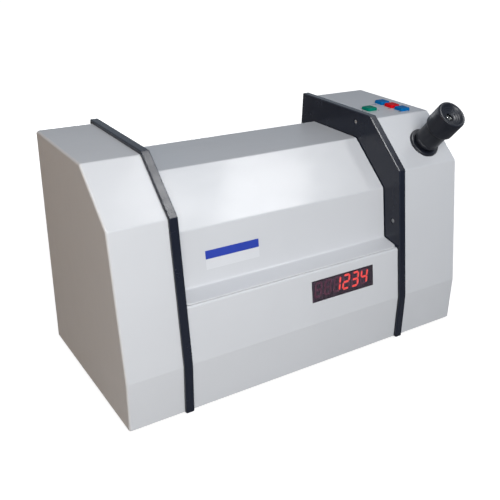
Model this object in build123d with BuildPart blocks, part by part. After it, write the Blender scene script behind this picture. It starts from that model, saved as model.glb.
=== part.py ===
from build123d import *
import os
from math import acos, cos, hypot, pi, radians, sin, sqrt, tan

# Bench polarimeter: two end casings on black frame plates, with a lidded sample chamber
# between them, a digit display in front, four push buttons and a focusing eyepiece.
# +X runs along the light path, the operator's side faces -Y, +Z is up.
# The origin is on the surface it stands on, under the middle of the body.

# Casing section, from the back wall round to the operator's side
case_w = 430.0
top_d = 121.7
slant_d = 53.7
slant_h = 45.7
lean_d = 25.8
lean_h = 143.9
skirt_d = 1.4
skirt_h = 51.8
foot_h = 6.0

# Sheet metal
sheet = 1.5
bend_r = 3.0
end_r = 2.5
fit_gap = 0.3

# Frame plates and the widths of the two end casings
left_w = 59.0
right_w = 83.0
frame_t = 9.0
frame_proud = 3.5
frame_bevel = 0.8
frame_corner = 1.0
plate_t = 2.0

# Stations worked out along the length, the depth and the height
x0 = -case_w / 2
x1 = x0 + left_w
x2 = x1 + frame_t
x5 = case_w / 2
x4 = x5 - right_w
x3 = x4 - frame_t
case_d = top_d + slant_d + lean_d + skirt_d
y_back = case_d / 2
y_top = y_back - top_d
y_mid = y_top - slant_d
y_low = y_mid - lean_d
y_bot = y_low - skirt_d
z_bot = foot_h
z_low = z_bot + skirt_h
z_mid = z_low + lean_h
z_top = z_mid + slant_h
z_floor = z_bot + plate_t


def front_y(z):
    """Y of the leaning front face of the casings at height z."""
    return y_mid - lean_d * (z_mid - z) / lean_h


# Front panel, sample tray and rear deck
panel_h = 110.0
panel_shelf = 27.5
panel_top = z_bot + panel_h
tray_front = front_y(panel_top) + panel_shelf
tray_gap = 27.8
tray_back = y_back - tray_gap
tray_drop = 16.0
tray_z = panel_top - tray_drop
tray_rise = 12.0
tray_lip = panel_top + tray_rise

# Chamber lid, from its handle lip round to the hinge flange
lid_gap = 1.0
lip_setback = 1.0
lip_gap = 2.0
lip_d = 21.3
lip_h = 3.6
lip_corner = 6.0
lid_front_d = 10.6
lid_front_h = 56.1
lid_slant_d = 53.4
lid_slant_h = 44.1
lid_back_in = 22.50681
lid_flange_h = 14.8
lid_web = 10.0
web_clear = 3.0
lid_tip_z = panel_top + lip_gap
lid_tip_y = front_y(lid_tip_z) + lip_setback
lid_crease = (lid_tip_y + lip_d, lid_tip_z + lip_h)
lid_mid = (lid_crease[0] + lid_front_d, lid_crease[1] + lid_front_h)
lid_top = (lid_mid[0] + lid_slant_d, lid_mid[1] + lid_slant_h)
lid_back = (y_back - lid_back_in, lid_top[1])
deck_drop = 15.8
deck_z = lid_back[1] - deck_drop

# Lid hinges
hinge_reach = 7.5
hinge_drop = 7.8
hinge_in = 45.0
hinge_span = x3 - x2 - 2 * hinge_in
knuckle_w = 12.0
ear_w = 6.0
knuckle_r = 4.2
knuckle_step = 1.0
pin_r = 2.0
run_gap = 0.05
side_gap = 0.3
hinge_y = lid_back[0] + hinge_reach
hinge_z = lid_back[1] - hinge_drop
chamber_x = (x2 + x3) / 2

# Eyepiece, square to the slanted face of the right casing
eye_in = 34.0
eye_x = x5 - eye_in
eye_up = 28.5
slant_len = hypot(slant_d, slant_h)
slant_out = Vector(0, -slant_h, slant_d) / slant_len
eye_y = y_mid + eye_up * slant_d / slant_len
eye_z = z_mid + eye_up * slant_h / slant_len
eye_plane = Plane(origin=(eye_x, eye_y, eye_z), x_dir=(1, 0, 0), z_dir=slant_out)
scope_r = 12.5
scope_bore = 10.5
scope_in = 62.0
scope_out = 20.0
collar_r = 18.2
collar_t = 3.2
collar_bevel = 0.8
barrel_from = 5.0
barrel_r = 14.1
barrel_to = 30.0
focus_room = 5.0
cup_r = 16.85
cup_to = 55.0
cup_mouth = 14.8
cup_deep = 13.0
cup_floor = 2.0
cup_step = 1.0
eye_hole = 5.0
sleeve_bore = 8.6
sleeve_in = 16.0
sleeve_out = 38.0

# The light path runs where the eyepiece axis comes down to the mirror
mirror_drop = 84.3
beam_y = eye_y - slant_out.Y * mirror_drop
beam_z = eye_z - slant_out.Z * mirror_drop
beam_r = 10.0

# Analyser drive
module = 0.8
gear_teeth = 72
pinion_teeth = 18
gear_w = 6.0
backlash = 0.10
journal_r = 17.0
block_t = 12.0
gear_out = 15.0
gear_x = x4 + gear_out
seat_r = 15.0
disc_out = 10.0
disc_x = gear_x + disc_out
disc_t = 1.0
disc_r = 23.0
clamp_r = 18.0
shaft_r = 2.0
motor_r = 14.0
motor_l = 18.0
bracket_t = 2.0
bracket_out = 13.0
bracket_x = gear_x + bracket_out
drive_gap = module * (gear_teeth + pinion_teeth) / 2
motor_y = beam_y + drive_gap

# Push buttons on the right casing's top
cap_s = 13.0
cap_gap = 0.25
cap_up = 3.5
cap_down = 4.0
cap_pitch = 17.3
cap_travel = 1.5
column_in = 27.3
lone_in = 63.0
cap_back = 32.7
column_x = x5 - column_in
lone_x = x5 - lone_in
cap_y = y_top + cap_back
button_places = {
    "button_green": (lone_x, cap_y),
    "button_blue_rear": (column_x, cap_y + cap_pitch),
    "button_red": (column_x, cap_y),
    "button_blue_front": (column_x, cap_y - cap_pitch),
}
stem_r = 2.0
stem_l = 4.0
switch_s = 12.0
switch_h = 7.0
switch_floor = 1.0
switch_top = z_top - cap_down - 2 * cap_travel
cap_round = 1.0
cap_bevel = 0.6
board_t = 1.6

# Display in the front panel
window_w = 85.0
window_h = 24.2
window_in = 80.0
window_up = 87.6
window_x = x3 - window_in
window_z = z_bot + window_up
digit_n = 6
digit_pitch = 12.7
digit_h = 20.0
digit_t = 7.0
digit_gap = 0.2
front_len = hypot(lean_d, lean_h)
front_out = Vector(0, -lean_h, lean_d) / front_len
show_plane = Plane(origin=(window_x, front_y(window_z), window_z), x_dir=(1, 0, 0), z_dir=front_out)

# Rear fittings
inlet_in = 45.0
inlet_up = 40.0
switch_in = 89.0
fuse_in = 11.0
inlet_x = x3 - inlet_in
inlet_z = z_bot + inlet_up
switch_x = x3 - switch_in
fuse_x = x3 - fuse_in

os.makedirs("parts", exist_ok=True)


def save(builder, label):
    """Label a finished sub-part and write it as one STEP file."""
    builder.part.label = label
    export_step(builder.part, f"parts/{label}.step")


def case_outline(x, grow=0.0, radius=bend_r):
    """Side outline of the casings at x, grown outward but always ending at the body's bottom."""
    with BuildSketch(Plane.YZ.offset(x)) as outline:
        with BuildLine():
            Polyline(
                (y_back, z_bot + grow),
                (y_back, z_top),
                (y_top, z_top),
                (y_mid, z_mid),
                (y_low, z_low),
                (y_bot, z_bot + grow),
                close=True,
            )
        make_face()
        if grow:
            offset(amount=grow, kind=Kind.INTERSECTION)
        fillet(outline.vertices().sort_by(Axis.Y)[2:], radius)
    return outline.sketch


def folded(x, points, side, radius=bend_r, thick=sheet):
    """Section at x of sheet folded along points and thickened to one side."""
    with BuildSketch(Plane.YZ.offset(x)) as section:
        with BuildLine():
            FilletPolyline(*points, radius=radius)
            offset(amount=thick, side=side)
        make_face()
    return section.sketch


def disc(plane, radius, bore=0.0):
    """Round face on a plane, with a round hole where bore is given."""
    with BuildSketch(plane) as face:
        Circle(radius)
        if bore:
            Circle(bore, mode=Mode.SUBTRACT)
    return face.sketch


def beam_plane(x):
    """Plane square to the light path at x, centred on it, with its normal along +X."""
    return Plane(origin=(x, beam_y, beam_z), x_dir=(0, 1, 0), z_dir=(1, 0, 0))


def gear_outline(plane, teeth, turn=0.0):
    """Involute gear face of the drive's module, turned by an angle in degrees."""
    pitch_r = module * teeth / 2
    base_r = pitch_r * cos(radians(20))
    tip_r = pitch_r + module
    root_r = pitch_r - 1.25 * module
    inv_pitch = tan(radians(20)) - radians(20)
    half = pi / (2 * teeth) - backlash / (2 * pitch_r) + inv_pitch
    flank = [max(base_r, root_r), (pitch_r + base_r) / 2 if base_r > root_r else pitch_r, tip_r]
    shape = [(root_r, half)]
    for r in flank:
        alpha = acos(min(1.0, base_r / r))
        shape.append((r, half - (tan(alpha) - alpha)))
    shape[0] = (root_r, shape[1][1] + 0.2 * half)
    points = []
    for tooth in range(teeth):
        mid = 2 * pi * tooth / teeth + radians(turn)
        points += [(r * cos(mid - a), r * sin(mid - a)) for r, a in shape]
        points += [(r * cos(mid + a), r * sin(mid + a)) for r, a in reversed(shape)]
    with BuildSketch(plane) as face:
        with BuildLine():
            Polyline(*points, close=True)
        make_face()
    return face.sketch


# Screw places on each frame plate: two on the chamber's open side, three behind the walls
frame_inset = 8.6
screw_r = 1.6
screw_head_r = 2.8
screw_head_t = 2.0
screw_l = 12.0
tab_s = 15.0
tab_over = 1.0
front_screw_up = 57.5
front_screw_z = z_mid - front_screw_up
top_screw_in = 22.9
back_screw_drop = 40.0
low_screw_drop = 20.0
frame_screw_places = [
    (y_top + top_screw_in, z_top - frame_inset),
    (front_y(front_screw_z) + frame_inset, front_screw_z),
    (y_back - frame_inset, z_top - back_screw_drop),
    (y_back - frame_inset, z_low),
    (y_low + frame_inset, z_low - low_screw_drop),
]
window_seat_r = 13.0
window_seat_d = 4.0
cell_r = 14.0
cell_d = 4.0
head_sink = 0.4
lead_hole = (0.0, 60.0)
lead_hole_r = 9.0
vent_z = 60.0
vent_pitch = 8.0
vent_w = 3.0
vent_n = 5
vent_margin = 24.0


def frame_plate(x, chamber_side):
    """Frame plate from x to x + frame_t; chamber_side is +1 where the chamber lies at +X."""
    chamber_x_face = x + frame_t if chamber_side > 0 else x
    outer_x_face = x if chamber_side > 0 else x + frame_t
    with BuildPart() as plate:
        extrude(case_outline(x, frame_proud, frame_corner), amount=frame_t)
        rims = plate.edges().group_by(Axis.X)[0] + plate.edges().group_by(Axis.X)[-1]
        chamfer([e for e in rims if e.center().Z > z_bot + frame_bevel], frame_bevel)
        with Locations((x + frame_t / 2, 0, z_bot + plate_t / 2)):
            Box(frame_t, case_d - 2 * sheet, plate_t, mode=Mode.SUBTRACT)
        extrude(disc(beam_plane(x), beam_r), amount=frame_t, mode=Mode.SUBTRACT)
        extrude(disc(beam_plane(chamber_x_face), window_seat_r), amount=-chamber_side * window_seat_d,
                mode=Mode.SUBTRACT)
        extrude(disc(beam_plane(outer_x_face), cell_r), amount=chamber_side * cell_d, mode=Mode.SUBTRACT)
        with BuildSketch(Plane.YZ.offset(x)):
            with Locations(lead_hole):
                Circle(lead_hole_r)
            with Locations(*frame_screw_places):
                Circle(screw_r)
        extrude(amount=frame_t, mode=Mode.SUBTRACT)
        with BuildSketch(Plane.YZ.offset(chamber_x_face)):
            with Locations(*frame_screw_places):
                Circle(screw_head_r)
        extrude(amount=-chamber_side * (screw_head_t + head_sink), mode=Mode.SUBTRACT)
    return plate


def end_casing(x_end, x_frame, cuts=()):
    """Folded end casing, closed at x_end and open towards the frame plate and below; cuts are faces
    on its outer side that are cut through the sheet."""
    inward = 1 if x_frame > x_end else -1
    width = abs(x_frame - x_end)
    with BuildPart() as shell:
        extrude(case_outline(x_end), amount=inward * width)
        rim = shell.edges().group_by(Axis.X)[0 if inward > 0 else -1]
        fillet([e for e in rim if e.center().Z > z_bot + end_r], end_r)
        extrude(case_outline(x_end + inward * sheet, -sheet, bend_r - sheet),
                amount=inward * (width - sheet), mode=Mode.SUBTRACT)
        for y, z in frame_screw_places:
            near_top = z > z_top - 2 * frame_inset
            near_back = y > y_back - 2 * frame_inset
            out_y = 0.0 if near_top else (1.0 if near_back else -1.0)
            out_z = 1.0 if near_top else 0.0
            shift = frame_inset + tab_over - tab_s / 2
            with Locations((x_frame - inward * sheet / 2, y + out_y * shift, z + out_z * shift)):
                Box(sheet, tab_s, tab_s)
        with BuildSketch(Plane.YZ.offset(x_frame)):
            with Locations(*frame_screw_places):
                Circle(screw_r)
        extrude(amount=-inward * sheet, mode=Mode.SUBTRACT)
        trim = extrude(case_outline(x_end - inward, frame_proud * 4, bend_r), amount=inward * (width + 2),
                       mode=Mode.PRIVATE)
        trim -= extrude(case_outline(x_end - inward), amount=inward * (width + 2), mode=Mode.PRIVATE)
        add(trim, mode=Mode.SUBTRACT)
        vent_x = (x_end + x_frame) / 2
        with BuildSketch(Plane.XZ.offset(-y_back)):
            with Locations((vent_x, vent_z)):
                with GridLocations(0, vent_pitch, 1, vent_n):
                    SlotOverall(width - vent_margin, vent_w)
        extrude(amount=sheet, both=True, mode=Mode.SUBTRACT)
        for face in cuts:
            extrude(face, amount=-3 * sheet, mode=Mode.SUBTRACT)
    return shell


# Base plate, with feet, that ties both frames and all panels together
foot_r = 9.0
foot_top_r = 7.5
foot_bevel = 0.8
foot_inset = 38.0
foot_screw_r = 2.0
foot_head_r = 3.8
base_slot_l = 50.0
foot_x = case_w / 2 - foot_inset
foot_y = case_d / 2 - foot_inset
base_half_x = case_w / 2 - sheet - fit_gap
base_half_y = case_d / 2 - sheet - fit_gap

with BuildPart() as base_plate:
    with BuildSketch(Plane.XY.offset(z_bot)):
        Rectangle(2 * base_half_x, 2 * base_half_y)
        with GridLocations(2 * foot_x, 2 * foot_y, 2, 2):
            Circle(foot_screw_r, mode=Mode.SUBTRACT)
        with Locations((x0 + left_w / 2 + sheet, 0), (x5 - right_w / 2, 0)):
            with GridLocations(0, vent_pitch, 1, vent_n):
                SlotOverall(left_w - vent_margin, vent_w, mode=Mode.SUBTRACT)
        with Locations((chamber_x, 0)):
            with GridLocations(2 * base_slot_l, vent_pitch, 2, vent_n):
                SlotOverall(base_slot_l, vent_w, mode=Mode.SUBTRACT)
    extrude(amount=plate_t)
save(base_plate, "base_plate")

with BuildPart() as feet:
    with GridLocations(2 * foot_x, 2 * foot_y, 2, 2):
        Cone(foot_top_r, foot_r, foot_h, align=(Align.CENTER, Align.CENTER, Align.MIN))
    chamfer(feet.edges().group_by(Axis.Z)[0], foot_bevel)
    with GridLocations(2 * foot_x, 2 * foot_y, 2, 2):
        Cylinder(foot_screw_r, foot_h, align=(Align.CENTER, Align.CENTER, Align.MIN), mode=Mode.SUBTRACT)
        Cylinder(foot_head_r, foot_h / 2, align=(Align.CENTER, Align.CENTER, Align.MIN), mode=Mode.SUBTRACT)
save(feet, "feet")

left_frame = frame_plate(x1, 1)
save(left_frame, "left_frame")
right_frame = frame_plate(x3, -1)
save(right_frame, "right_frame")

with BuildPart() as frame_screws:
    for face_x, into in ((x2, -1), (x3, 1)):
        with BuildSketch(Plane.YZ.offset(face_x + into * (screw_head_t + head_sink))):
            with Locations(*frame_screw_places):
                Circle(screw_head_r - 0.1)
        extrude(amount=-into * screw_head_t)
        with BuildSketch(Plane.YZ.offset(face_x + into * (screw_head_t + head_sink))):
            with Locations(*frame_screw_places):
                Circle(screw_r)
        extrude(amount=into * (screw_l - screw_head_t))
save(frame_screws, "frame_screws")

left_casing = end_casing(x0, x1)
save(left_casing, "left_casing")

with BuildSketch(Plane.XY.offset(z_top)) as button_cut:
    with Locations(*button_places.values()):
        RectangleRounded(cap_s + 2 * cap_gap, cap_s + 2 * cap_gap, cap_round + cap_gap)
right_casing = end_casing(x5, x4, (disc(eye_plane, scope_r + fit_gap), button_cut.sketch))
save(right_casing, "right_casing")

# Front panel with the display cut-out
with BuildPart() as front_panel:
    extrude(
        folded(x2 + fit_gap, [(y_bot, z_bot), (y_low, z_low), (front_y(panel_top), panel_top),
                              (tray_front, panel_top)], Side.RIGHT),
        amount=x3 - x2 - 2 * fit_gap,
    )
    with BuildSketch(show_plane):
        Rectangle(window_w, window_h)
    extrude(amount=-3 * sheet, mode=Mode.SUBTRACT)
save(front_panel, "front_panel")

# Rear panel, folded forward at the top into the deck that carries the lid hinges
rear_slot_n = 7
inlet_w, inlet_h = 27.4, 20.0
rocker_w, rocker_h = 13.0, 19.4
bezel_w, bezel_h, bezel_t = 17.0, 24.0, 2.0
fuse_r = 6.0
with BuildPart() as rear_panel:
    extrude(
        folded(x2 + fit_gap, [(y_back, z_bot), (y_back, deck_z), (tray_back - sheet, deck_z)], Side.LEFT),
        amount=x3 - x2 - 2 * fit_gap,
    )
    with BuildSketch(Plane.XZ.offset(-y_back)):
        with Locations((inlet_x, inlet_z)):
            Rectangle(inlet_w, inlet_h)
        with Locations((switch_x, inlet_z)):
            Rectangle(rocker_w, rocker_h)
        with Locations((fuse_x, inlet_z)):
            Circle(fuse_r)
        with Locations((chamber_x - base_slot_l, vent_z)):
            with GridLocations(0, vent_pitch, 1, rear_slot_n):
                SlotOverall(base_slot_l, vent_w)
    extrude(amount=2 * sheet, both=True, mode=Mode.SUBTRACT)
save(rear_panel, "rear_panel")

# Sample tray: the chamber's floor with a front upstand and a rear wall
with BuildPart() as chamber_tray:
    extrude(
        folded(x2 + fit_gap, [(tray_front, tray_lip), (tray_front, tray_z), (tray_back, tray_z),
                              (tray_back, deck_z - sheet)], Side.LEFT),
        amount=x3 - x2 - 2 * fit_gap,
    )
save(chamber_tray, "chamber_tray")

# Lid: lip, front, slant, top and hinge flange folded from one sheet, with stiffening ends
lid_path = [(lid_tip_y, lid_tip_z), lid_crease, lid_mid, lid_top, lid_back,
            (lid_back[0], lid_back[1] - lid_flange_h)]
web_start_z = tray_lip + web_clear
web_start = (lid_crease[0] + lid_front_d * (web_start_z - lid_crease[1]) / lid_front_h, web_start_z)
with BuildPart() as chamber_lid:
    extrude(folded(x2 + lid_gap, lid_path, Side.RIGHT), amount=x3 - x2 - 2 * lid_gap)
    for x in (x2 + lid_gap, x3 - lid_gap - sheet):
        extrude(folded(x, [web_start, lid_mid, lid_top, (lid_back[0] - bend_r, lid_back[1])], Side.RIGHT,
                       thick=lid_web), amount=sheet)
    with BuildSketch(Plane.XY.offset(lid_tip_z - lip_h)):
        for x, turn in ((x2 + lid_gap, 0), (x3 - lid_gap, 90)):
            with BuildLine():
                corner = (x, lid_tip_y)
                inward = 1 if turn == 0 else -1
                Line(corner, (x + inward * lip_corner, lid_tip_y))
                RadiusArc((x + inward * lip_corner, lid_tip_y), (x, lid_tip_y + lip_corner),
                          inward * lip_corner)
                Line((x, lid_tip_y + lip_corner), corner)
            make_face()
    extrude(amount=3 * lip_h, mode=Mode.SUBTRACT)
save(chamber_lid, "chamber_lid")

hinge_centres = [chamber_x - hinge_span / 2, chamber_x + hinge_span / 2]


def hinge_plane(x):
    """Plane square to the hinge line at x, centred on the pin."""
    return Plane(origin=(x, hinge_y, hinge_z), x_dir=(0, 1, 0), z_dir=(1, 0, 0))


with BuildPart() as lid_knuckles:
    for x in hinge_centres:
        left = x - knuckle_w / 2
        extrude(disc(hinge_plane(left), knuckle_r), amount=knuckle_w)
        with Locations((x, hinge_y - hinge_reach / 2, hinge_z)):
            Box(knuckle_w, hinge_reach, 2 * (knuckle_r - knuckle_step))
        extrude(disc(hinge_plane(left), pin_r + run_gap), amount=knuckle_w, mode=Mode.SUBTRACT)
save(lid_knuckles, "lid_knuckles")

ear_pad_t = 2.4
ear_span = knuckle_w + 2 * ear_w + 2 * side_gap
with BuildPart() as hinge_brackets:
    for x in hinge_centres:
        for side in (-1, 1):
            inner = x + side * (knuckle_w / 2 + side_gap)
            extrude(disc(hinge_plane(inner), knuckle_r), amount=side * ear_w)
            with Locations((inner + side * ear_w / 2, hinge_y, (deck_z + hinge_z) / 2)):
                Box(ear_w, 2 * knuckle_r, hinge_z - deck_z)
        with Locations((x, hinge_y, deck_z + ear_pad_t / 2)):
            Box(ear_span, 2 * knuckle_r, ear_pad_t)
        extrude(disc(hinge_plane(x - ear_span / 2), pin_r), amount=ear_span, mode=Mode.SUBTRACT)
save(hinge_brackets, "hinge_brackets")

pin_end = 1.0
pin_l = ear_span + 2 * pin_end
with BuildPart() as hinge_pins:
    for x in hinge_centres:
        extrude(disc(hinge_plane(x - pin_l / 2), pin_r), amount=pin_l)
save(hinge_pins, "hinge_pins")

bumper_r = 4.0
bumper_taper = 1.0
bumper_h = lip_gap + lip_h / 2 - sheet - fit_gap - bumper_r * lip_h / lip_d
bumper_y = lid_tip_y + lip_d / 2
with BuildPart() as lid_bumpers:
    with Locations((chamber_x - hinge_span / 2, bumper_y, panel_top),
                   (chamber_x + hinge_span / 2, bumper_y, panel_top)):
        Cone(bumper_r, bumper_r - bumper_taper, bumper_h, align=(Align.CENTER, Align.CENTER, Align.MIN))
save(lid_bumpers, "lid_bumpers")

# Tube cradle on two legs
tube_r = 16.0
cradle_t = 2.5
cradle_bend = 1.0
cradle_side = 18.6
cradle_flange = 6.4
cradle_margin = 12.0
leg_t = 4.0
leg_half = 24.0
leg_inset = 40.0
vee_z = beam_z - tube_r * sqrt(2)
cradle_top = vee_z + cradle_side
cradle_path = [(beam_y - cradle_side - cradle_flange, cradle_top), (beam_y - cradle_side, cradle_top),
               (beam_y, vee_z), (beam_y + cradle_side, cradle_top),
               (beam_y + cradle_side + cradle_flange, cradle_top)]
cradle_x = x2 + cradle_margin
cradle_l = x3 - x2 - 2 * cradle_margin
with BuildPart() as tube_cradle:
    extrude(folded(cradle_x, cradle_path, Side.RIGHT, cradle_bend, cradle_t), amount=cradle_l)
save(tube_cradle, "tube_cradle")

leg_top = cradle_top - cradle_t
with BuildPart() as cradle_legs:
    for x in (cradle_x + leg_inset, cradle_x + cradle_l - leg_inset - leg_t):
        with BuildSketch(Plane.YZ.offset(x)):
            with BuildLine():
                Polyline((beam_y - leg_half, tray_z + sheet), (beam_y + leg_half, tray_z + sheet),
                         (beam_y + leg_half, leg_top), (beam_y - leg_half, leg_top), close=True)
            make_face()
            with BuildLine():
                low = vee_z - cradle_t * sqrt(2) - fit_gap
                run = leg_top - low
                Polyline((beam_y - run, leg_top), (beam_y, low), (beam_y + run, leg_top), close=True)
            make_face(mode=Mode.SUBTRACT)
        extrude(amount=leg_t)
save(cradle_legs, "cradle_legs")

# Beam windows in both frames, each held by a ring
glass_t = 2.0
slip = 0.1
with BuildPart() as beam_windows:
    for face_x, into in ((x2, -1), (x3, 1)):
        extrude(disc(beam_plane(face_x + into * window_seat_d), window_seat_r - slip), amount=-into * glass_t)
save(beam_windows, "beam_windows")

with BuildPart() as window_rings:
    for face_x, into in ((x2, -1), (x3, 1)):
        extrude(disc(beam_plane(face_x + into * (window_seat_d - glass_t)), window_seat_r - slip, beam_r),
                amount=-into * (window_seat_d - glass_t))
save(window_rings, "window_rings")

# Light source on the left frame, outside the chamber
lamp_flange_r = 23.0
lamp_r = 17.0
lamp_bore = 14.0
lamp_l = 34.0
lamp_flange_t = 3.0
with BuildPart() as lamp_tube:
    extrude(disc(beam_plane(x1), lamp_flange_r), amount=-lamp_flange_t)
    extrude(disc(beam_plane(x1), lamp_r), amount=-lamp_l)
    extrude(disc(beam_plane(x1), lamp_bore), amount=-lamp_l, mode=Mode.SUBTRACT)
save(lamp_tube, "lamp_tube")

cell_tail = 4.0
film_r = beam_r - 1.0
with BuildPart() as polariser_cell:
    extrude(disc(beam_plane(x1), cell_r - slip, film_r), amount=cell_d)
    extrude(disc(beam_plane(x1), lamp_bore - 2 * slip, film_r), amount=-cell_tail)
save(polariser_cell, "polariser_cell")

film_t = 0.8
with BuildPart() as polariser_films:
    extrude(disc(beam_plane(x1 - cell_tail / 2), film_r), amount=film_t)
    with BuildSketch(beam_plane(x1 + cell_d / 4)):
        Circle(film_r)
        with Locations((-beam_r / 2, 0)):
            Rectangle(beam_r, 2 * beam_r, mode=Mode.SUBTRACT)
    extrude(amount=film_t)
save(polariser_films, "polariser_films")

filter_t = 2.0
filter_x = x1 - 3 * cell_tail
with BuildPart() as colour_filter:
    extrude(disc(beam_plane(filter_x), lamp_bore - slip), amount=filter_t)
save(colour_filter, "colour_filter")

lens_edge = 2.0
lens_rise = 4.0
condenser_gap = 10.0


def lens(plane, radius, edge, rise):
    """Flat-backed lens on the plane: a rim as high as edge, then a spherical dome as high as rise."""
    dome_r = (radius ** 2 + rise ** 2) / (2 * rise)
    half_way = edge + rise - dome_r + sqrt(dome_r ** 2 - radius ** 2 / 4)
    with BuildPart() as glass:
        with BuildSketch(Plane.XZ):
            with BuildLine():
                Polyline((0, edge + rise), (0, 0), (radius, 0), (radius, edge))
                ThreePointArc((radius, edge), (radius / 2, half_way), (0, edge + rise))
            make_face()
        revolve(axis=Axis.Z)
    return plane.location * glass.part


with BuildPart() as condenser_lens:
    add(lens(beam_plane(x1 - lamp_l + condenser_gap), lamp_bore - slip, lens_edge, lens_rise))
save(condenser_lens, "condenser_lens")

led_x = x1 - lamp_l
led_base_r = 5.0
led_base_t = 1.5
led_dome_r = 3.5
with BuildPart() as led_board:
    extrude(disc(beam_plane(led_x), lamp_r), amount=-board_t)
    extrude(disc(beam_plane(led_x), led_base_r), amount=led_base_t)
    with Locations(beam_plane(led_x + led_base_t).location):
        Sphere(led_dome_r, arc_size1=0, align=(Align.CENTER, Align.CENTER, Align.MIN))
save(led_board, "led_board")

sink_s = 40.0
sink_t = 4.0
fin_h = 12.0
fin_t = 1.6
fin_n = 8
sink_x = led_x - board_t
with BuildPart() as heat_sink:
    with BuildSketch(beam_plane(sink_x)):
        Rectangle(sink_s, sink_s)
    extrude(amount=-sink_t)
    with BuildSketch(beam_plane(sink_x - sink_t)):
        with GridLocations((sink_s - fin_t) / (fin_n - 1), 0, fin_n, 1):
            Rectangle(fin_t, sink_s)
    extrude(amount=-fin_h)
save(heat_sink, "heat_sink")

# Analyser drive on the right frame's outer face
block_round = 4.0
block_ahead = 33.0
block_behind = 26.0
block_below = 34.0
block_above = 37.0
block_front = beam_y - block_ahead
block_back = motor_y + block_behind
block_low = beam_z - block_below
block_high = beam_z + block_above
with BuildPart() as bearing_block:
    with BuildSketch(Plane.YZ.offset(x4)):
        with BuildLine():
            Polyline((block_front, block_low), (block_back, block_low), (block_back, block_high),
                     (block_front, block_high), close=True)
        make_face()
        with Locations((beam_y, beam_z)):
            Circle(journal_r, mode=Mode.SUBTRACT)
    extrude(amount=block_t)
    fillet(bearing_block.edges().filter_by(Axis.X), block_round)
save(bearing_block, "bearing_block")

hub_flange_r = 20.0
hub_from = x4 + fit_gap
hub_lip = x4 + block_t + fit_gap
clamp_t = 2.0
hub_to = disc_x + disc_t + clamp_t
with BuildPart() as analyser_hub:
    extrude(disc(beam_plane(hub_from), journal_r - run_gap, beam_r), amount=hub_lip - hub_from)
    extrude(disc(beam_plane(hub_lip), hub_flange_r, beam_r), amount=gear_x - hub_lip)
    extrude(disc(beam_plane(gear_x), seat_r, beam_r), amount=hub_to - gear_x)
save(analyser_hub, "analyser_hub")

with BuildPart() as analyser_film:
    extrude(disc(beam_plane(x4 + block_t / 2), beam_r), amount=film_t)
save(analyser_film, "analyser_film")

spoke_r = 3.6
spoke_n = 6
spoke_ring = (seat_r + module * gear_teeth / 2 - 2.0) / 2
with BuildPart() as analyser_gear:
    extrude(gear_outline(beam_plane(gear_x), gear_teeth), amount=gear_w)
    extrude(disc(beam_plane(gear_x), seat_r), amount=gear_w, mode=Mode.SUBTRACT)
    with BuildSketch(beam_plane(gear_x)):
        with PolarLocations(spoke_ring, spoke_n, start_angle=30):
            Circle(spoke_r)
    extrude(amount=gear_w, mode=Mode.SUBTRACT)
save(analyser_gear, "analyser_gear")

with BuildPart() as encoder_disc:
    extrude(disc(beam_plane(disc_x), disc_r, seat_r), amount=disc_t)
save(encoder_disc, "encoder_disc")

spacer_l = disc_x - gear_x - gear_w
with BuildPart() as encoder_rings:
    extrude(disc(beam_plane(gear_x + gear_w), clamp_r, seat_r), amount=spacer_l)
    extrude(disc(beam_plane(disc_x + disc_t), clamp_r, seat_r), amount=clamp_t)
save(encoder_rings, "encoder_rings")

# Optical reader over the encoder disc's top edge, on an arm from the bearing block
reader_gap = 1.0
reader_leg = 2.3
reader_w = 12.0
reader_low = beam_z + clamp_r + reader_gap
reader_slot = beam_z + disc_r + 2 * reader_gap
reader_high = block_high
arm_low = beam_z + module * (gear_teeth / 2 + 1) + reader_gap
with BuildPart() as encoder_reader:
    reader_x0 = disc_x - reader_gap - reader_leg
    reader_x1 = disc_x + disc_t + reader_gap + reader_leg
    with Locations(((reader_x0 + reader_x1) / 2, beam_y, (reader_low + reader_high) / 2)):
        Box(reader_x1 - reader_x0, reader_w, reader_high - reader_low)
    with Locations((disc_x + disc_t / 2, beam_y, (reader_low + reader_slot) / 2)):
        Box(disc_t + 2 * reader_gap, reader_w, reader_slot - reader_low, mode=Mode.SUBTRACT)
    with Locations(((x4 + block_t + reader_x0) / 2, beam_y, (arm_low + reader_high) / 2)):
        Box(reader_x0 - x4 - block_t, reader_w, reader_high - arm_low)
save(encoder_reader, "encoder_reader")

# Stepper motor on a bracket that four posts hold off the bearing block
post_r = 3.0
post_near, post_far = (-2.0, 24.0), (18.0, 14.0)
post_places = [(motor_y + y, side * z) for y, z in (post_near, post_far) for side in (1, -1)]
plate_w, plate_h, plate_shift = 30.0, 56.0, 7.0
boss_r = 4.5
shaft_in = 8.0
shaft_end = 1.5
pinion_hub_r = 4.0
pinion_hub_l = 4.0
motor_bevel = 1.5


def motor_plane(x):
    """Plane square to the motor shaft at x, centred on it."""
    return Plane(origin=(x, motor_y, beam_z), x_dir=(0, 1, 0), z_dir=(1, 0, 0))


with BuildPart() as motor_bracket:
    with BuildSketch(Plane.YZ.offset(bracket_x)):
        with Locations((motor_y + plate_shift, beam_z)):
            RectangleRounded(plate_w, plate_h, block_round)
        with Locations((motor_y, beam_z)):
            Circle(boss_r, mode=Mode.SUBTRACT)
    extrude(amount=bracket_t)
    for y, dz in post_places:
        with BuildSketch(Plane.YZ.offset(bracket_x)):
            with Locations((y, beam_z + dz)):
                Circle(post_r)
        extrude(amount=-(bracket_x - x4 - block_t))
save(motor_bracket, "motor_bracket")

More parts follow.
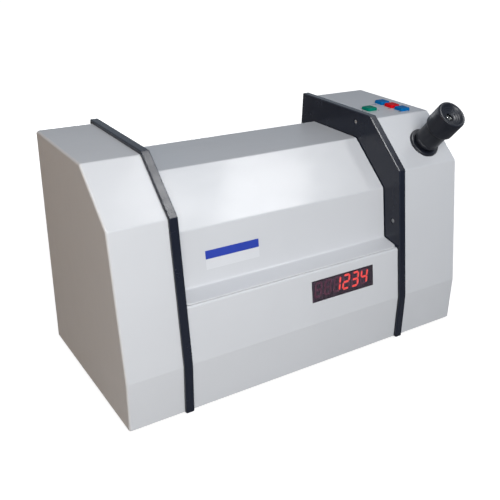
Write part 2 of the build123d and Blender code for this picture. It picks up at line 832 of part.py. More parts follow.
with BuildPart() as drive_motor:
    extrude(disc(motor_plane(bracket_x + bracket_t), motor_r), amount=motor_l)
    chamfer(drive_motor.edges().group_by(Axis.X)[-1], motor_bevel)
    extrude(disc(motor_plane(bracket_x + bracket_t), boss_r), amount=-bracket_t)
    extrude(disc(motor_plane(bracket_x), shaft_r + run_gap), amount=bracket_t + shaft_in, mode=Mode.SUBTRACT)
save(drive_motor, "drive_motor")

with BuildPart() as motor_shaft:
    extrude(disc(motor_plane(gear_x - shaft_end), shaft_r), amount=bracket_x + shaft_in + shaft_end - gear_x)
save(motor_shaft, "motor_shaft")

with BuildPart() as motor_pinion:
    extrude(gear_outline(motor_plane(gear_x), pinion_teeth, 180 / pinion_teeth), amount=gear_w)
    extrude(disc(motor_plane(gear_x + gear_w), pinion_hub_r), amount=pinion_hub_l)
    extrude(disc(motor_plane(gear_x), shaft_r), amount=gear_w + pinion_hub_l, mode=Mode.SUBTRACT)
save(motor_pinion, "motor_pinion")

# Folding mirror that turns the light path up into the eyepiece
mirror_w = 26.0
mirror_l = 34.0
mirror_t = 3.0
holder_t = 6.0
holder_rim = 1.0
mirror_out = Vector(-1, slant_out.Y, slant_out.Z).normalized()
mirror_plane = Plane(origin=(eye_x, beam_y, beam_z), x_dir=Vector(0, slant_out.Z, -slant_out.Y),
                     z_dir=mirror_out)
with BuildPart() as folding_mirror:
    with BuildSketch(mirror_plane):
        Rectangle(mirror_w, mirror_l)
    extrude(amount=-mirror_t)
save(folding_mirror, "folding_mirror")

post_foot_r = 14.0
post_foot_t = 4.0
mirror_post_r = 6.0
post_drop = 8.0
holder_centre = mirror_plane.origin - mirror_out * (mirror_t + holder_t / 2)
with BuildPart() as mirror_post:
    with BuildSketch(mirror_plane.offset(-mirror_t)):
        Rectangle(mirror_w + 2 * holder_rim, mirror_l + 2 * holder_rim)
    extrude(amount=-holder_t)
    with Locations((holder_centre.X, holder_centre.Y, z_floor)):
        Cylinder(mirror_post_r, holder_centre.Z - post_drop - z_floor,
                 align=(Align.CENTER, Align.CENTER, Align.MIN))
        Cylinder(post_foot_r, post_foot_t, align=(Align.CENTER, Align.CENTER, Align.MIN))
save(mirror_post, "mirror_post")

# Telescope tube and eyepiece, built along the eyepiece axis
with BuildPart() as telescope_tube:
    extrude(disc(eye_plane.offset(-scope_in), scope_r, scope_bore), amount=scope_in + scope_out)
save(telescope_tube, "telescope_tube")

lens_inset = 4.0
scope_lens_edge = 2.0
scope_lens_rise = 1.2
with BuildPart() as objective_lens:
    add(lens(eye_plane.offset(lens_inset - scope_in), scope_bore, scope_lens_edge, scope_lens_rise))
save(objective_lens, "objective_lens")

with BuildPart() as eyepiece_collar:
    extrude(disc(eye_plane, collar_r, scope_r), amount=collar_t)
    chamfer(eyepiece_collar.edges().filter_by(GeomType.CIRCLE).sort_by(SortBy.RADIUS)[-2:]
            .sort_by(Axis.Z)[-1], collar_bevel)
save(eyepiece_collar, "eyepiece_collar")

with BuildPart() as focus_sleeve:
    extrude(disc(eye_plane.offset(-sleeve_in), scope_bore - run_gap, sleeve_bore),
            amount=sleeve_in + sleeve_out)
save(focus_sleeve, "focus_sleeve")

with BuildPart() as eyepiece_lenses:
    for along in (lens_inset - sleeve_in, sleeve_out - lens_inset):
        add(lens(eye_plane.offset(along), sleeve_bore, scope_lens_edge, scope_lens_rise))
save(eyepiece_lenses, "eyepiece_lenses")

# The barrel turns on the telescope tube and the focus sleeve; the eyecup is fixed on it
with BuildPart() as eyepiece_barrel:
    extrude(disc(eye_plane.offset(barrel_from), barrel_r), amount=barrel_to - barrel_from)
    extrude(disc(eye_plane.offset(barrel_from), scope_r + run_gap),
            amount=scope_out + focus_room - barrel_from, mode=Mode.SUBTRACT)
    extrude(disc(eye_plane.offset(barrel_from), scope_bore), amount=barrel_to - barrel_from,
            mode=Mode.SUBTRACT)
save(eyepiece_barrel, "eyepiece_barrel")

with BuildPart() as eyecup:
    extrude(disc(eye_plane.offset(barrel_to), cup_r), amount=cup_to - barrel_to)
    extrude(disc(eye_plane.offset(barrel_to), scope_bore), amount=cup_to - cup_deep - cup_floor - barrel_to,
            mode=Mode.SUBTRACT)
    extrude(disc(eye_plane.offset(barrel_to), eye_hole), amount=cup_to - barrel_to, mode=Mode.SUBTRACT)
    with BuildSketch(eye_plane.offset(cup_to - cup_deep)):
        Circle(eye_hole + cup_step)
    with BuildSketch(eye_plane.offset(cup_to)):
        Circle(cup_mouth)
    loft(mode=Mode.SUBTRACT)
save(eyecup, "eyecup")

# Push buttons, each a square cap with a stem into its switch
for label, (x, y) in button_places.items():
    with BuildPart() as button:
        with BuildSketch(Plane.XY.offset(z_top - cap_down)):
            with Locations((x, y)):
                RectangleRounded(cap_s, cap_s, cap_round)
        extrude(amount=cap_up + cap_down)
        chamfer(button.edges().group_by(Axis.Z)[-1], cap_bevel)
        with BuildSketch(Plane.XY.offset(z_top - cap_down)):
            with Locations((x, y)):
                Circle(stem_r)
        extrude(amount=-stem_l)
    save(button, label)

stem_bore = stem_r + fit_gap
button_board_z = switch_top - switch_h - board_t
board_x = (lone_x + column_x) / 2
board_rim = 5.0
board_w = column_x - lone_x + switch_s + 2 * board_rim
board_d = 2 * cap_pitch + switch_s + 2 * board_rim
with BuildPart() as button_board:
    with BuildSketch(Plane.XY.offset(button_board_z)):
        with Locations((board_x, cap_y)):
            Rectangle(board_w, board_d)
    extrude(amount=board_t)
    with BuildSketch(Plane.XY.offset(button_board_z + board_t)):
        with Locations(*button_places.values()):
            Rectangle(switch_s, switch_s)
    extrude(amount=switch_h)
    with BuildSketch(Plane.XY.offset(switch_top)):
        with Locations(*button_places.values()):
            Circle(stem_bore)
    extrude(amount=switch_floor - switch_h, mode=Mode.SUBTRACT)
save(button_board, "button_board")

# Display: dark window, digit modules and their board behind the leaning panel
window_flange = 2.5
window_back = 2.0
window_sink = 0.2
digits_at = 4.5
with BuildPart() as display_window:
    with BuildSketch(show_plane.offset(-sheet)):
        Rectangle(window_w - fit_gap, window_h - fit_gap)
    extrude(amount=sheet - window_sink)
    with BuildSketch(show_plane.offset(-sheet)):
        Rectangle(window_w + 2 * window_flange, window_h + 2 * window_flange)
    extrude(amount=-window_back)
save(display_window, "display_window")

show_rim = 5.0
show_board_w = window_w + 5 * show_rim
show_board_h = window_h + 2 * show_rim
with BuildPart() as display_board:
    with BuildSketch(show_plane.offset(-digits_at - digit_t)):
        Rectangle(show_board_w, show_board_h)
    extrude(amount=-board_t)
    with BuildSketch(show_plane.offset(-digits_at)):
        with GridLocations(digit_pitch, 0, digit_n, 1):
            Rectangle(digit_pitch - digit_gap, digit_h)
    extrude(amount=-digit_t)
save(display_board, "display_board")

# Electronics on the base plate, and the posts of all three boards
post_h = 8.0
main_w = 130.0
main_d = 90.0
main_in = 15.0
main_x = x2 + main_in + main_w / 2
board_post_r = 2.0
board_post_in = 4.0
with BuildPart() as board_posts:
    with BuildSketch(Plane.XY.offset(z_floor)):
        with Locations((main_x, 0)):
            with GridLocations(main_w - 2 * board_post_in, main_d - 2 * board_post_in, 2, 2):
                Circle(board_post_r)
    extrude(amount=post_h)
    with BuildSketch(Plane.XY.offset(button_board_z + board_t)):
        with Locations((board_x, cap_y)):
            with GridLocations(board_w - board_rim, board_d - board_rim, 2, 2):
                Circle(board_post_r)
    extrude(amount=z_top - sheet - button_board_z - board_t)
    with BuildSketch(show_plane.offset(-sheet)):
        with GridLocations(show_board_w - show_rim, show_board_h - show_rim, 2, 2):
            Circle(board_post_r)
    extrude(amount=-(digits_at + digit_t - sheet))
save(board_posts, "board_posts")

main_z = z_floor + post_h
chip_s = 20.0
chip_h = 2.4
cap_can_r = 6.0
cap_can_h = 16.0
header_l = 40.0
header_w = 6.0
header_h = 9.0
chip_pitch = (38.0, 34.0)
can_pitch = 18.0
with BuildPart() as main_board:
    with BuildSketch(Plane.XY.offset(main_z)):
        with Locations((main_x, 0)):
            Rectangle(main_w, main_d)
    extrude(amount=board_t)
    with BuildSketch(Plane.XY.offset(main_z + board_t)):
        with Locations((main_x, 0)):
            with GridLocations(*chip_pitch, 2, 2):
                Rectangle(chip_s, chip_s)
    extrude(amount=chip_h)
    with BuildSketch(Plane.XY.offset(main_z + board_t)):
        with Locations((main_x, 0)):
            with GridLocations(0, main_d - 2 * header_w, 1, 2):
                Rectangle(header_l, header_w)
    extrude(amount=header_h)
    with BuildSketch(Plane.XY.offset(main_z + board_t)):
        with Locations((main_x - main_w / 2 + 2 * cap_can_r, 0)):
            with GridLocations(0, can_pitch, 1, 3):
                Circle(cap_can_r)
    extrude(amount=cap_can_h)
save(main_board, "main_board")

core_w = 48.0
core_d = 20.0
core_h = 40.0
coil_w = 30.0
coil_d = 36.0
coil_h = 26.0
core_in = 39.0
core_x = x3 - core_in
core_y = -20.0
with BuildPart() as transformer:
    with Locations((core_x, core_y, z_floor)):
        Box(core_w, core_d, core_h, align=(Align.CENTER, Align.CENTER, Align.MIN))
    with Locations((core_x, core_y, z_floor + core_h / 2)):
        Box(coil_w, coil_d, coil_h)
    fillet(transformer.edges().filter_by(Axis.Z).group_by(Axis.Y)[0], 3.0)
    fillet(transformer.edges().filter_by(Axis.Z).group_by(Axis.Y)[-1], 3.0)
save(transformer, "transformer")

# Mains inlet, rocker switch and fuse holder in the rear panel
flange_w = 34.0
flange_h = 26.0
flange_t = 2.2
inlet_deep = 24.0
socket_w = 24.4
socket_h = 17.0
socket_d = 17.0
socket_key = 4.0
pin_w = 2.0
pin_h = 4.0
pin_short = 2.0
pin_places = [(-7.0, -2.0), (0.0, 2.0), (7.0, -2.0)]
rear_face = Plane.XZ.offset(-y_back)
with BuildPart() as power_inlet:
    with BuildSketch(rear_face):
        with Locations((inlet_x, inlet_z)):
            RectangleRounded(flange_w, flange_h, 3.0)
    extrude(amount=-flange_t)
    with BuildSketch(rear_face):
        with Locations((inlet_x, inlet_z)):
            Rectangle(inlet_w - fit_gap, inlet_h - fit_gap)
    extrude(amount=inlet_deep)
    with BuildSketch(Plane.XZ.offset(-y_back - flange_t)):
        with Locations((inlet_x, inlet_z)):
            socket = Rectangle(socket_w, socket_h)
        chamfer(socket.vertices().group_by(Axis.Y)[-1], socket_key)
    extrude(amount=socket_d + flange_t, mode=Mode.SUBTRACT)
    with BuildSketch(Plane.XZ.offset(-y_back + socket_d)):
        with Locations(*[(inlet_x + dx, inlet_z + dz) for dx, dz in pin_places]):
            Rectangle(pin_w, pin_h)
    extrude(amount=pin_short - socket_d)
save(power_inlet, "power_inlet")

switch_deep = 18.0
slot_w = rocker_w - 3.0
slot_h = rocker_h - 2.0
switch_wall = 2.0
rocker_r = 7.0
rocker_end = 6.6
rocker_mid = 5.0
rocker_taper = 2.0
rocker_heel = 3.0
rocker_tilt = 10.0
rocker_y = y_back - rocker_mid
pivot_r = 1.2


def pivot_plane(side):
    """Plane square to the rocker's pivot, at a distance along it from the switch's middle."""
    return Plane(origin=(switch_x + side, rocker_y, inlet_z), x_dir=(0, 1, 0), z_dir=(1, 0, 0))


with BuildPart() as switch_body:
    with BuildSketch(rear_face):
        with Locations((switch_x, inlet_z)):
            RectangleRounded(bezel_w, bezel_h, 1.0)
    extrude(amount=-bezel_t)
    with BuildSketch(rear_face):
        with Locations((switch_x, inlet_z)):
            Rectangle(rocker_w - fit_gap, rocker_h - fit_gap)
    extrude(amount=switch_deep)
    with BuildSketch(Plane.XZ.offset(-y_back - bezel_t)):
        with Locations((switch_x, inlet_z)):
            Rectangle(slot_w, slot_h)
    extrude(amount=bezel_t + switch_deep - switch_wall, mode=Mode.SUBTRACT)
    extrude(disc(pivot_plane(rocker_w / 2), pivot_r + run_gap), amount=-rocker_w, mode=Mode.SUBTRACT)
save(switch_body, "switch_body")

rocker_wide = slot_w - 2 * fit_gap
rocker_turn = radians(rocker_tilt)
rocker_plane = Plane(origin=(switch_x - rocker_wide / 2, rocker_y, inlet_z),
                     x_dir=(0, cos(rocker_turn), sin(rocker_turn)), z_dir=(1, 0, 0))
with BuildPart() as power_rocker:
    with BuildSketch(rocker_plane):
        with BuildLine():
            Polyline((rocker_end, -rocker_r), (rocker_mid, 0), (rocker_end, rocker_r),
                     (0, rocker_r - rocker_taper), (-rocker_heel, 0), (0, rocker_taper - rocker_r), close=True)
        make_face()
    extrude(amount=rocker_wide)
    pivot_half = (rocker_w - fit_gap) / 2
    extrude(disc(pivot_plane(pivot_half), pivot_r), amount=-2 * pivot_half)
save(power_rocker, "power_rocker")

fuse_cap_r = 7.5
fuse_cap_t = 2.8
fuse_deep = 26.0
fuse_slot = (9.0, 1.4)
with BuildPart() as fuse_holder:
    with BuildSketch(rear_face):
        with Locations((fuse_x, inlet_z)):
            Circle(fuse_cap_r)
    extrude(amount=-fuse_cap_t)
    with BuildSketch(rear_face):
        with Locations((fuse_x, inlet_z)):
            Circle(fuse_r - slip)
    extrude(amount=fuse_deep)
    with BuildSketch(Plane.XZ.offset(-y_back - fuse_cap_t)):
        with Locations((fuse_x, inlet_z)):
            Rectangle(*fuse_slot)
    extrude(amount=fuse_slot[1], mode=Mode.SUBTRACT)
save(fuse_holder, "fuse_holder")
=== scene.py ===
import logging
import math
from dataclasses import dataclass, field
from enum import Enum
from functools import cache

import bmesh
import bpy
from mathutils import Matrix, Vector


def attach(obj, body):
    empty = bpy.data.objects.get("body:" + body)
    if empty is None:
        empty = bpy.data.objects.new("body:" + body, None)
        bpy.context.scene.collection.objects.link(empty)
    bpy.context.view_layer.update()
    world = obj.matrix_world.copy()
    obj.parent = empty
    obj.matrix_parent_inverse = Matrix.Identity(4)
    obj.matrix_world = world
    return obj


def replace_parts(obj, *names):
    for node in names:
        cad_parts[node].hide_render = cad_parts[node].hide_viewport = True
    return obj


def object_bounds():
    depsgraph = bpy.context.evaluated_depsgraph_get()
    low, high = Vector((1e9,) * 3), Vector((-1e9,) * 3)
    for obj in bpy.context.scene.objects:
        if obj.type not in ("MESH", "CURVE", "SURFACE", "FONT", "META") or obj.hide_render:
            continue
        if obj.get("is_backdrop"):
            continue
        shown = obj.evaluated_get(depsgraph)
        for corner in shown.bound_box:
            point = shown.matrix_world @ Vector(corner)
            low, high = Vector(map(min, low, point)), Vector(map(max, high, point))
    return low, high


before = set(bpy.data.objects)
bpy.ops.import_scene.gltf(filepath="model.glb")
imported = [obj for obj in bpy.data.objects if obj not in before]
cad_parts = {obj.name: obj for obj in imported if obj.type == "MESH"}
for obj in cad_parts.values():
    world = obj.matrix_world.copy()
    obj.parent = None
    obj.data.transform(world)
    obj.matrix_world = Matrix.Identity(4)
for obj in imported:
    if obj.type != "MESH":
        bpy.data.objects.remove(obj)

LOG = logging.getLogger("polarimeter")
MM = 0.001

AXIS_R = 0.01  # radius of a turned profile's points beside the axis, in millimetres
COAT_ROUGHNESS = 0.12
DUST_COLOUR = (168, 164, 156)
TRACK_COLOUR = (48, 118, 70)
PAD_COLOUR = (196, 190, 160)
WHITE = (1.0, 1.0, 1.0, 1.0)
FLOAT = "NodeSocketFloat"
VECTOR = "NodeSocketVector"

Spot = tuple[float, float]
Point = tuple[float, float, float]
Colour = tuple[float, float, float]
Light = tuple[float, float, float, float]


class Style(Enum):
    """How a finish is laid over its colour."""

    POWDER = "powder"
    MOULDED = "moulded"
    TURNED = "turned"
    BRUSHED = "brushed"
    BOARD = "board"


class Reading(Enum):
    """Segments that are lit for each figure, named a to g in the usual order."""

    ONE = "bc"
    TWO = "abged"
    THREE = "abgcd"
    FOUR = "fgbc"
    BLANK = ""


def linear(colour: Colour) -> Light:
    """Turns a display colour into the linear one that shaders use.

    Args:
        colour: Red, green and blue from 0 to 255 as a screen shows them.

    Returns:
        The same colour in linear light, with an alpha of 1.
    """
    parts = [c / 255 for c in colour]
    bent = [c / 12.92 if c <= 0.04045 else ((c + 0.055) / 1.055) ** 2.4 for c in parts]
    return (*bent, 1.0)


def dimmed(colour: Light, share: float) -> Light:
    """Takes a share of the light from a linear colour and keeps its alpha."""
    return (*(c * (1.0 - share) for c in colour[:3]), 1.0)


class Sheet:
    """A node tree with short calls for adding and joining nodes."""

    def __init__(self, tree: bpy.types.NodeTree) -> None:
        """Takes hold of a node tree.

        Args:
            tree: The material's, world's or group's own tree.
        """
        self.tree = tree

    @classmethod
    def cleared(cls, owner: bpy.types.ID) -> "Sheet":
        """Gives a new material or world an empty node tree.

        Args:
            owner: The material or world.

        Returns:
            The sheet of its tree.
        """
        owner.use_nodes = True
        owner.node_tree.nodes.clear()
        return cls(owner.node_tree)

    def add(self, kind: str, **values: object) -> bpy.types.Node:
        """Adds a node and sets its properties and inputs.

        Args:
            kind: Blender's name of the node, without the word ShaderNode.
            values: Property names, or input names with spaces as underscores.

        Returns:
            The new node.
        """
        name = kind if kind.startswith("Node") else "ShaderNode" + kind
        node = self.tree.nodes.new(name)
        for key, value in values.items():
            if hasattr(node, key):
                setattr(node, key, value)
            else:
                self.put(value, node.inputs[key.replace("_", " ")])
        return node

    def put(self, value: object, socket: bpy.types.NodeSocket) -> None:
        """Links a socket to another, or sets it to a plain value.

        Args:
            value: The other socket, or a number, colour or vector.
            socket: The input that gets it.
        """
        if isinstance(value, bpy.types.NodeSocket):
            self.tree.links.new(value, socket)
        else:
            socket.default_value = value

    def show(self, shader: bpy.types.NodeSocket, kind: str = "OutputMaterial") -> None:
        """Joins a shader to a new output node."""
        self.put(shader, self.add(kind).inputs["Surface"])

    def fed(self, kind: str, terms: tuple[object, ...], **values: object) -> bpy.types.Node:
        """Adds a node and fills its inputs in their own order.

        Args:
            kind: Blender's name of the node, without the word ShaderNode.
            terms: Sockets or plain values, in the order of the inputs.
            values: Property names of the node.

        Returns:
            The new node.
        """
        node = self.add(kind, **values)
        for place, term in enumerate(terms):
            self.put(term, node.inputs[place])
        return node

    def maths(self, operation: str, *terms: object) -> bpy.types.NodeSocket:
        """Does one sum.

        Args:
            operation: Blender's name of the sum, such as MULTIPLY.
            terms: Sockets or numbers, in order.

        Returns:
            The socket with the answer.
        """
        return self.fed("Math", terms, operation=operation).outputs[0]

    def per_mm(self, size: object) -> bpy.types.NodeSocket:
        """Turns a pattern's size in millimetres into its scale."""
        return self.maths("DIVIDE", 1.0 / MM, size)

    def spread(self, value: object, low: float, high: float, to_low: float,
               to_high: float) -> bpy.types.NodeSocket:
        """Maps a value from one span to another, held at both ends."""
        return self.fed("MapRange", (value, low, high, to_low, to_high), clamp=True).outputs[0]

    def blend(self, share: object, first: object, second: object) -> bpy.types.NodeSocket:
        """Mixes two colours.

        Args:
            share: How much of the second colour, as a number or a socket.
            first: The colour below.
            second: The colour above.

        Returns:
            The socket with the mixed colour.
        """
        node = self.add("Mix", data_type="RGBA", blend_type="MIX")
        self.put(share, node.inputs[0])
        self.put(first, node.inputs[6])
        self.put(second, node.inputs[7])
        return node.outputs[2]

    def noise(self, where: object, scale: object, detail: float = 2.0,
              rough: float = 0.5) -> bpy.types.NodeSocket:
        """Adds a cloudy value between 0 and 1."""
        node = self.add("TexNoise", Vector=where, Scale=scale, Detail=detail, Roughness=rough)
        return node.outputs["Fac"]

    def object_place(self) -> bpy.types.NodeSocket:
        """Gives the place on the piece, in metres."""
        return self.add("TexCoord").outputs["Object"]


class Effects:
    """Shared surface effects, each a node group that is built once."""

    @staticmethod
    def group(name: str, inputs: dict[str, float],
              outputs: dict[str, str]) -> tuple[Sheet, bpy.types.Node, bpy.types.Node]:
        """Starts a node group with named sockets.

        Args:
            name: The group's name.
            inputs: Each input's name and its first value.
            outputs: Each output's name and its socket type.

        Returns:
            The group's sheet, its input node and its output node.
        """
        tree = bpy.data.node_groups.new(name, "ShaderNodeTree")
        for label, value in inputs.items():
            socket = tree.interface.new_socket(label, in_out="INPUT", socket_type=FLOAT)
            socket.default_value = value
        for label, kind in outputs.items():
            tree.interface.new_socket(label, in_out="OUTPUT", socket_type=kind)
        sheet = Sheet(tree)
        return sheet, sheet.add("NodeGroupInput"), sheet.add("NodeGroupOutput")

    @classmethod
    @cache
    def grain(cls) -> bpy.types.NodeTree:
        """Fine dimples of powder paint or moulded plastic.

        Returns:
            The group, with Height between 0 and 1 and Fleck between 0 and 1.
        """
        sheet, given, out = cls.group("Fine grain", {"Size": 0.6, "Mix": 0.5},
                                      {"Height": FLOAT, "Fleck": FLOAT})
        where = sheet.object_place()
        scale = sheet.per_mm(given.outputs["Size"])
        cells = sheet.add("TexVoronoi", feature="SMOOTH_F1", Vector=where, Scale=scale)
        cloud = sheet.noise(where, scale, 3.0)
        inverse = sheet.maths("SUBTRACT", 1.0, given.outputs["Mix"])
        dimples = sheet.maths("MULTIPLY", cells.outputs["Distance"], given.outputs["Mix"])
        height = sheet.maths("ADD", dimples, sheet.maths("MULTIPLY", cloud, inverse))
        sheet.put(height, out.inputs["Height"])
        sheet.put(sheet.spread(cloud, 0.35, 0.65, 0.0, 1.0), out.inputs["Fleck"])
        return sheet.tree

    @classmethod
    @cache
    def soft_edge(cls) -> bpy.types.NodeTree:
        """Rounded normals and a mask along a piece's sharp edges, for wear and for a painted edge
        highlight.

        Returns:
            The group, with a Normal and a mask for wear and painted edge highlight.
        """
        sheet, given, out = cls.group("Soft edge", {"Radius": 0.5, "Amount": 0.3, "Patch": 12.0},
                                      {"Normal": VECTOR, "Wear and highlight": FLOAT})
        radius = sheet.maths("MULTIPLY", given.outputs["Radius"], MM)
        normal = sheet.add("Bevel", samples=6, Radius=radius).outputs["Normal"]
        flat = sheet.add("NewGeometry").outputs["Normal"]
        dot = sheet.fed("VectorMath", (normal, flat), operation="DOT_PRODUCT")
        edge = sheet.spread(dot.outputs["Value"], 0.99, 0.80, 0.0, 1.0)
        patch = sheet.noise(sheet.object_place(), sheet.per_mm(given.outputs["Patch"]), 4.0, 0.6)
        broken = sheet.spread(patch, 0.42, 0.62, 0.25, 1.0)
        mask = sheet.maths("MULTIPLY", edge, broken)
        sheet.put(normal, out.inputs["Normal"])
        sheet.put(sheet.maths("MULTIPLY", mask, given.outputs["Amount"]), out.inputs["Wear and highlight"])
        return sheet.tree

    @classmethod
    @cache
    def dust(cls) -> bpy.types.NodeTree:
        """Thin dust that settles on what faces up.

        Returns:
            The group, with a Mask.
        """
        sheet, given, out = cls.group("Settled dust", {"Amount": 0.1, "Patch": 40.0},
                                      {"Mask": FLOAT})
        normal = sheet.add("NewGeometry").outputs["Normal"]
        up = sheet.add("SeparateXYZ", Vector=normal).outputs["Z"]
        facing = sheet.spread(up, 0.35, 1.0, 0.0, 1.0)
        where = sheet.object_place()
        cloud = sheet.noise(where, sheet.per_mm(given.outputs["Patch"]), 5.0, 0.65)
        speck = sheet.noise(where, 900.0, 2.0)
        both = sheet.maths("MULTIPLY", sheet.spread(cloud, 0.35, 0.75, 0.2, 1.0),
                           sheet.spread(speck, 0.4, 0.7, 0.5, 1.0))
        mask = sheet.maths("MULTIPLY", facing, both)
        sheet.put(sheet.maths("MULTIPLY", mask, given.outputs["Amount"]), out.inputs["Mask"])
        return sheet.tree

    @classmethod
    @cache
    def handling(cls) -> bpy.types.NodeTree:
        """Broad, faint clouds of tone and sheen left by making and by hands.

        Returns:
            The group, with Tone between 0 and 1 and Smear between 0 and 1.
        """
        sheet, given, out = cls.group("Handling clouds", {"Patch": 90.0},
                                      {"Tone": FLOAT, "Smear": FLOAT})
        where = sheet.object_place()
        scale = sheet.per_mm(given.outputs["Patch"])
        cloud = sheet.noise(where, scale, 3.0, 0.55)
        stretched = sheet.add("Mapping", Vector=where, Scale=(1.0, 3.0, 1.6))
        smear = sheet.noise(stretched.outputs[0], sheet.maths("MULTIPLY", scale, 2.2), 5.0, 0.7)
        sheet.put(sheet.spread(cloud, 0.3, 0.7, 0.0, 1.0), out.inputs["Tone"])
        sheet.put(sheet.spread(smear, 0.4, 0.72, 0.0, 1.0), out.inputs["Smear"])
        return sheet.tree

    @classmethod
    @cache
    def lines(cls) -> bpy.types.NodeTree:
        """Fine parallel marks of turning, brushing or milling.

        Returns:
            The group, with a Height between 0 and 1.
        """
        along = ("Along X", "Along Y", "Along Z")
        sheet, given, out = cls.group("Tool lines", {"Pitch": 0.3, **dict.fromkeys(along, 1.0)},
                                      {"Height": FLOAT})
        squash = sheet.fed("CombineXYZ", tuple(given.outputs[label] for label in along))
        scaled = sheet.fed("VectorMath", (sheet.object_place(), squash.outputs[0]),
                           operation="MULTIPLY")
        height = sheet.noise(scaled.outputs[0], sheet.per_mm(given.outputs["Pitch"]), 2.0, 0.6)
        sheet.put(height, out.inputs["Height"])
        return sheet.tree


@dataclass(frozen=True)
class Finish:
    """One surface finish: its colour, its gloss and what lies on it."""

    name: str
    slot: str
    colour: Colour
    style: Style = Style.POWDER
    roughness: float = 0.45
    rough_swing: float = 0.08
    metallic: float = 0.0
    coat: float = 0.0
    grain: float = 0.7
    depth: float = 0.02
    tone: float = 0.05
    # Colour and share along sharp edges: wear, and on the paints a painted edge highlight.
    worn_and_highlit: Colour = (205, 205, 208)
    edge_wear_and_highlight: float = 0.25
    dust: float = 0.05
    edge: float = 0.5
    brush: Point = (1.0, 1.0, 1.0)
    specular: float = 0.5
    patch: float = 80.0

    def build(self) -> bpy.types.Material:
        """Builds the material.

        Returns:
            The material, with its colour, roughness and relief made by nodes.
        """
        material = bpy.data.materials.new(self.name)
        sheet = Sheet.cleared(material)
        shader = sheet.add("BsdfPrincipled", Metallic=self.metallic, Coat_Weight=self.coat,
                           Coat_Roughness=COAT_ROUGHNESS, Specular_IOR_Level=self.specular)
        sheet.show(shader.outputs[0])

        grain = sheet.add("Group", node_tree=Effects.grain(), Size=self.grain,
                          Mix=0.6 if self.style is Style.POWDER else 0.2)
        cloud = sheet.add("Group", node_tree=Effects.handling(), Patch=self.patch)
        edge = sheet.add("Group", node_tree=Effects.soft_edge(), Radius=self.edge,
                         Amount=self.edge_wear_and_highlight)
        dust = sheet.add("Group", node_tree=Effects.dust(), Amount=self.dust)

        base = linear(self.colour)
        colour = sheet.blend(cloud.outputs["Tone"], base, dimmed(base, 2.0 * self.tone))
        fleck = sheet.maths("MULTIPLY", grain.outputs["Fleck"], 0.5)
        colour = sheet.blend(fleck, colour, dimmed(base, self.tone))
        if self.style is Style.BOARD:
            colour = self.tracks(sheet, colour)
        # Sharp edges shift toward this colour: real wear, and on the two paints a painted highlight
        # along the edges.
        colour = sheet.blend(edge.outputs["Wear and highlight"], colour, linear(self.worn_and_highlit))
        colour = sheet.blend(dust.outputs["Mask"], colour, linear(DUST_COLOUR))
        sheet.put(colour, shader.inputs["Base Color"])

        smear = sheet.maths("MULTIPLY", cloud.outputs["Smear"], self.rough_swing)
        matt = sheet.maths("MULTIPLY", dust.outputs["Mask"], 0.5)
        rough = sheet.maths("ADD", sheet.maths("ADD", self.roughness, smear), matt)
        sheet.put(rough, shader.inputs["Roughness"])

        height = grain.outputs["Height"]
        if self.style in (Style.TURNED, Style.BRUSHED):
            along_x, along_y, along_z = self.brush
            marks = sheet.add("Group", node_tree=Effects.lines(), Pitch=self.grain,
                              Along_X=along_x, Along_Y=along_y, Along_Z=along_z)
            height = marks.outputs["Height"]
        bump = sheet.add("Bump", Strength=1.0, Distance=self.depth * MM, Height=height,
                         Normal=edge.outputs["Normal"])
        sheet.put(bump.outputs["Normal"], shader.inputs["Normal"])
        return material

    def tracks(self, sheet: Sheet, colour: bpy.types.NodeSocket) -> bpy.types.NodeSocket:
        """Lays copper tracks and pads under the lacquer of a circuit board.

        Args:
            sheet: The material's sheet.
            colour: The lacquer's colour.

        Returns:
            The socket with the colour of the tracked board.
        """
        where = sheet.object_place()
        bricks = sheet.add("TexBrick", offset=0.5, squash=0.6, Vector=where, Scale=160.0,
                           Mortar_Size=0.05)
        pads = sheet.add("TexVoronoi", feature="F1", Vector=where, Scale=300.0)
        pad = sheet.spread(pads.outputs["Distance"], 0.16, 0.2, 1.0, 0.0)
        track = sheet.maths("MULTIPLY", bricks.outputs["Fac"], 0.6)
        tracked = sheet.blend(track, colour, linear(TRACK_COLOUR))
        return sheet.blend(sheet.maths("MULTIPLY", pad, 0.7), tracked, linear(PAD_COLOUR))


@dataclass(frozen=True)
class GlassFinish(Finish):
    """Clear or tinted glass, film and smoked plastic."""

    clear: float = 1.0
    index: float = 1.49
    patch: float = 22.0

    def build(self) -> bpy.types.Material:
        """Builds the material.

        Returns:
            The glass, with faint smears in its gloss and tint.
        """
        material = bpy.data.materials.new(self.name)
        sheet = Sheet.cleared(material)
        shader = sheet.add("BsdfPrincipled", Metallic=self.metallic,
                           Transmission_Weight=self.clear, IOR=self.index)
        sheet.show(shader.outputs[0])
        cloud = sheet.add("Group", node_tree=Effects.handling(), Patch=self.patch)
        base = linear(self.colour)
        colour = sheet.blend(cloud.outputs["Tone"], base, dimmed(base, self.tone))
        sheet.put(colour, shader.inputs["Base Color"])
        swing = sheet.maths("MULTIPLY", cloud.outputs["Smear"], self.rough_swing)
        sheet.put(sheet.maths("ADD", self.roughness, swing), shader.inputs["Roughness"])
        return material


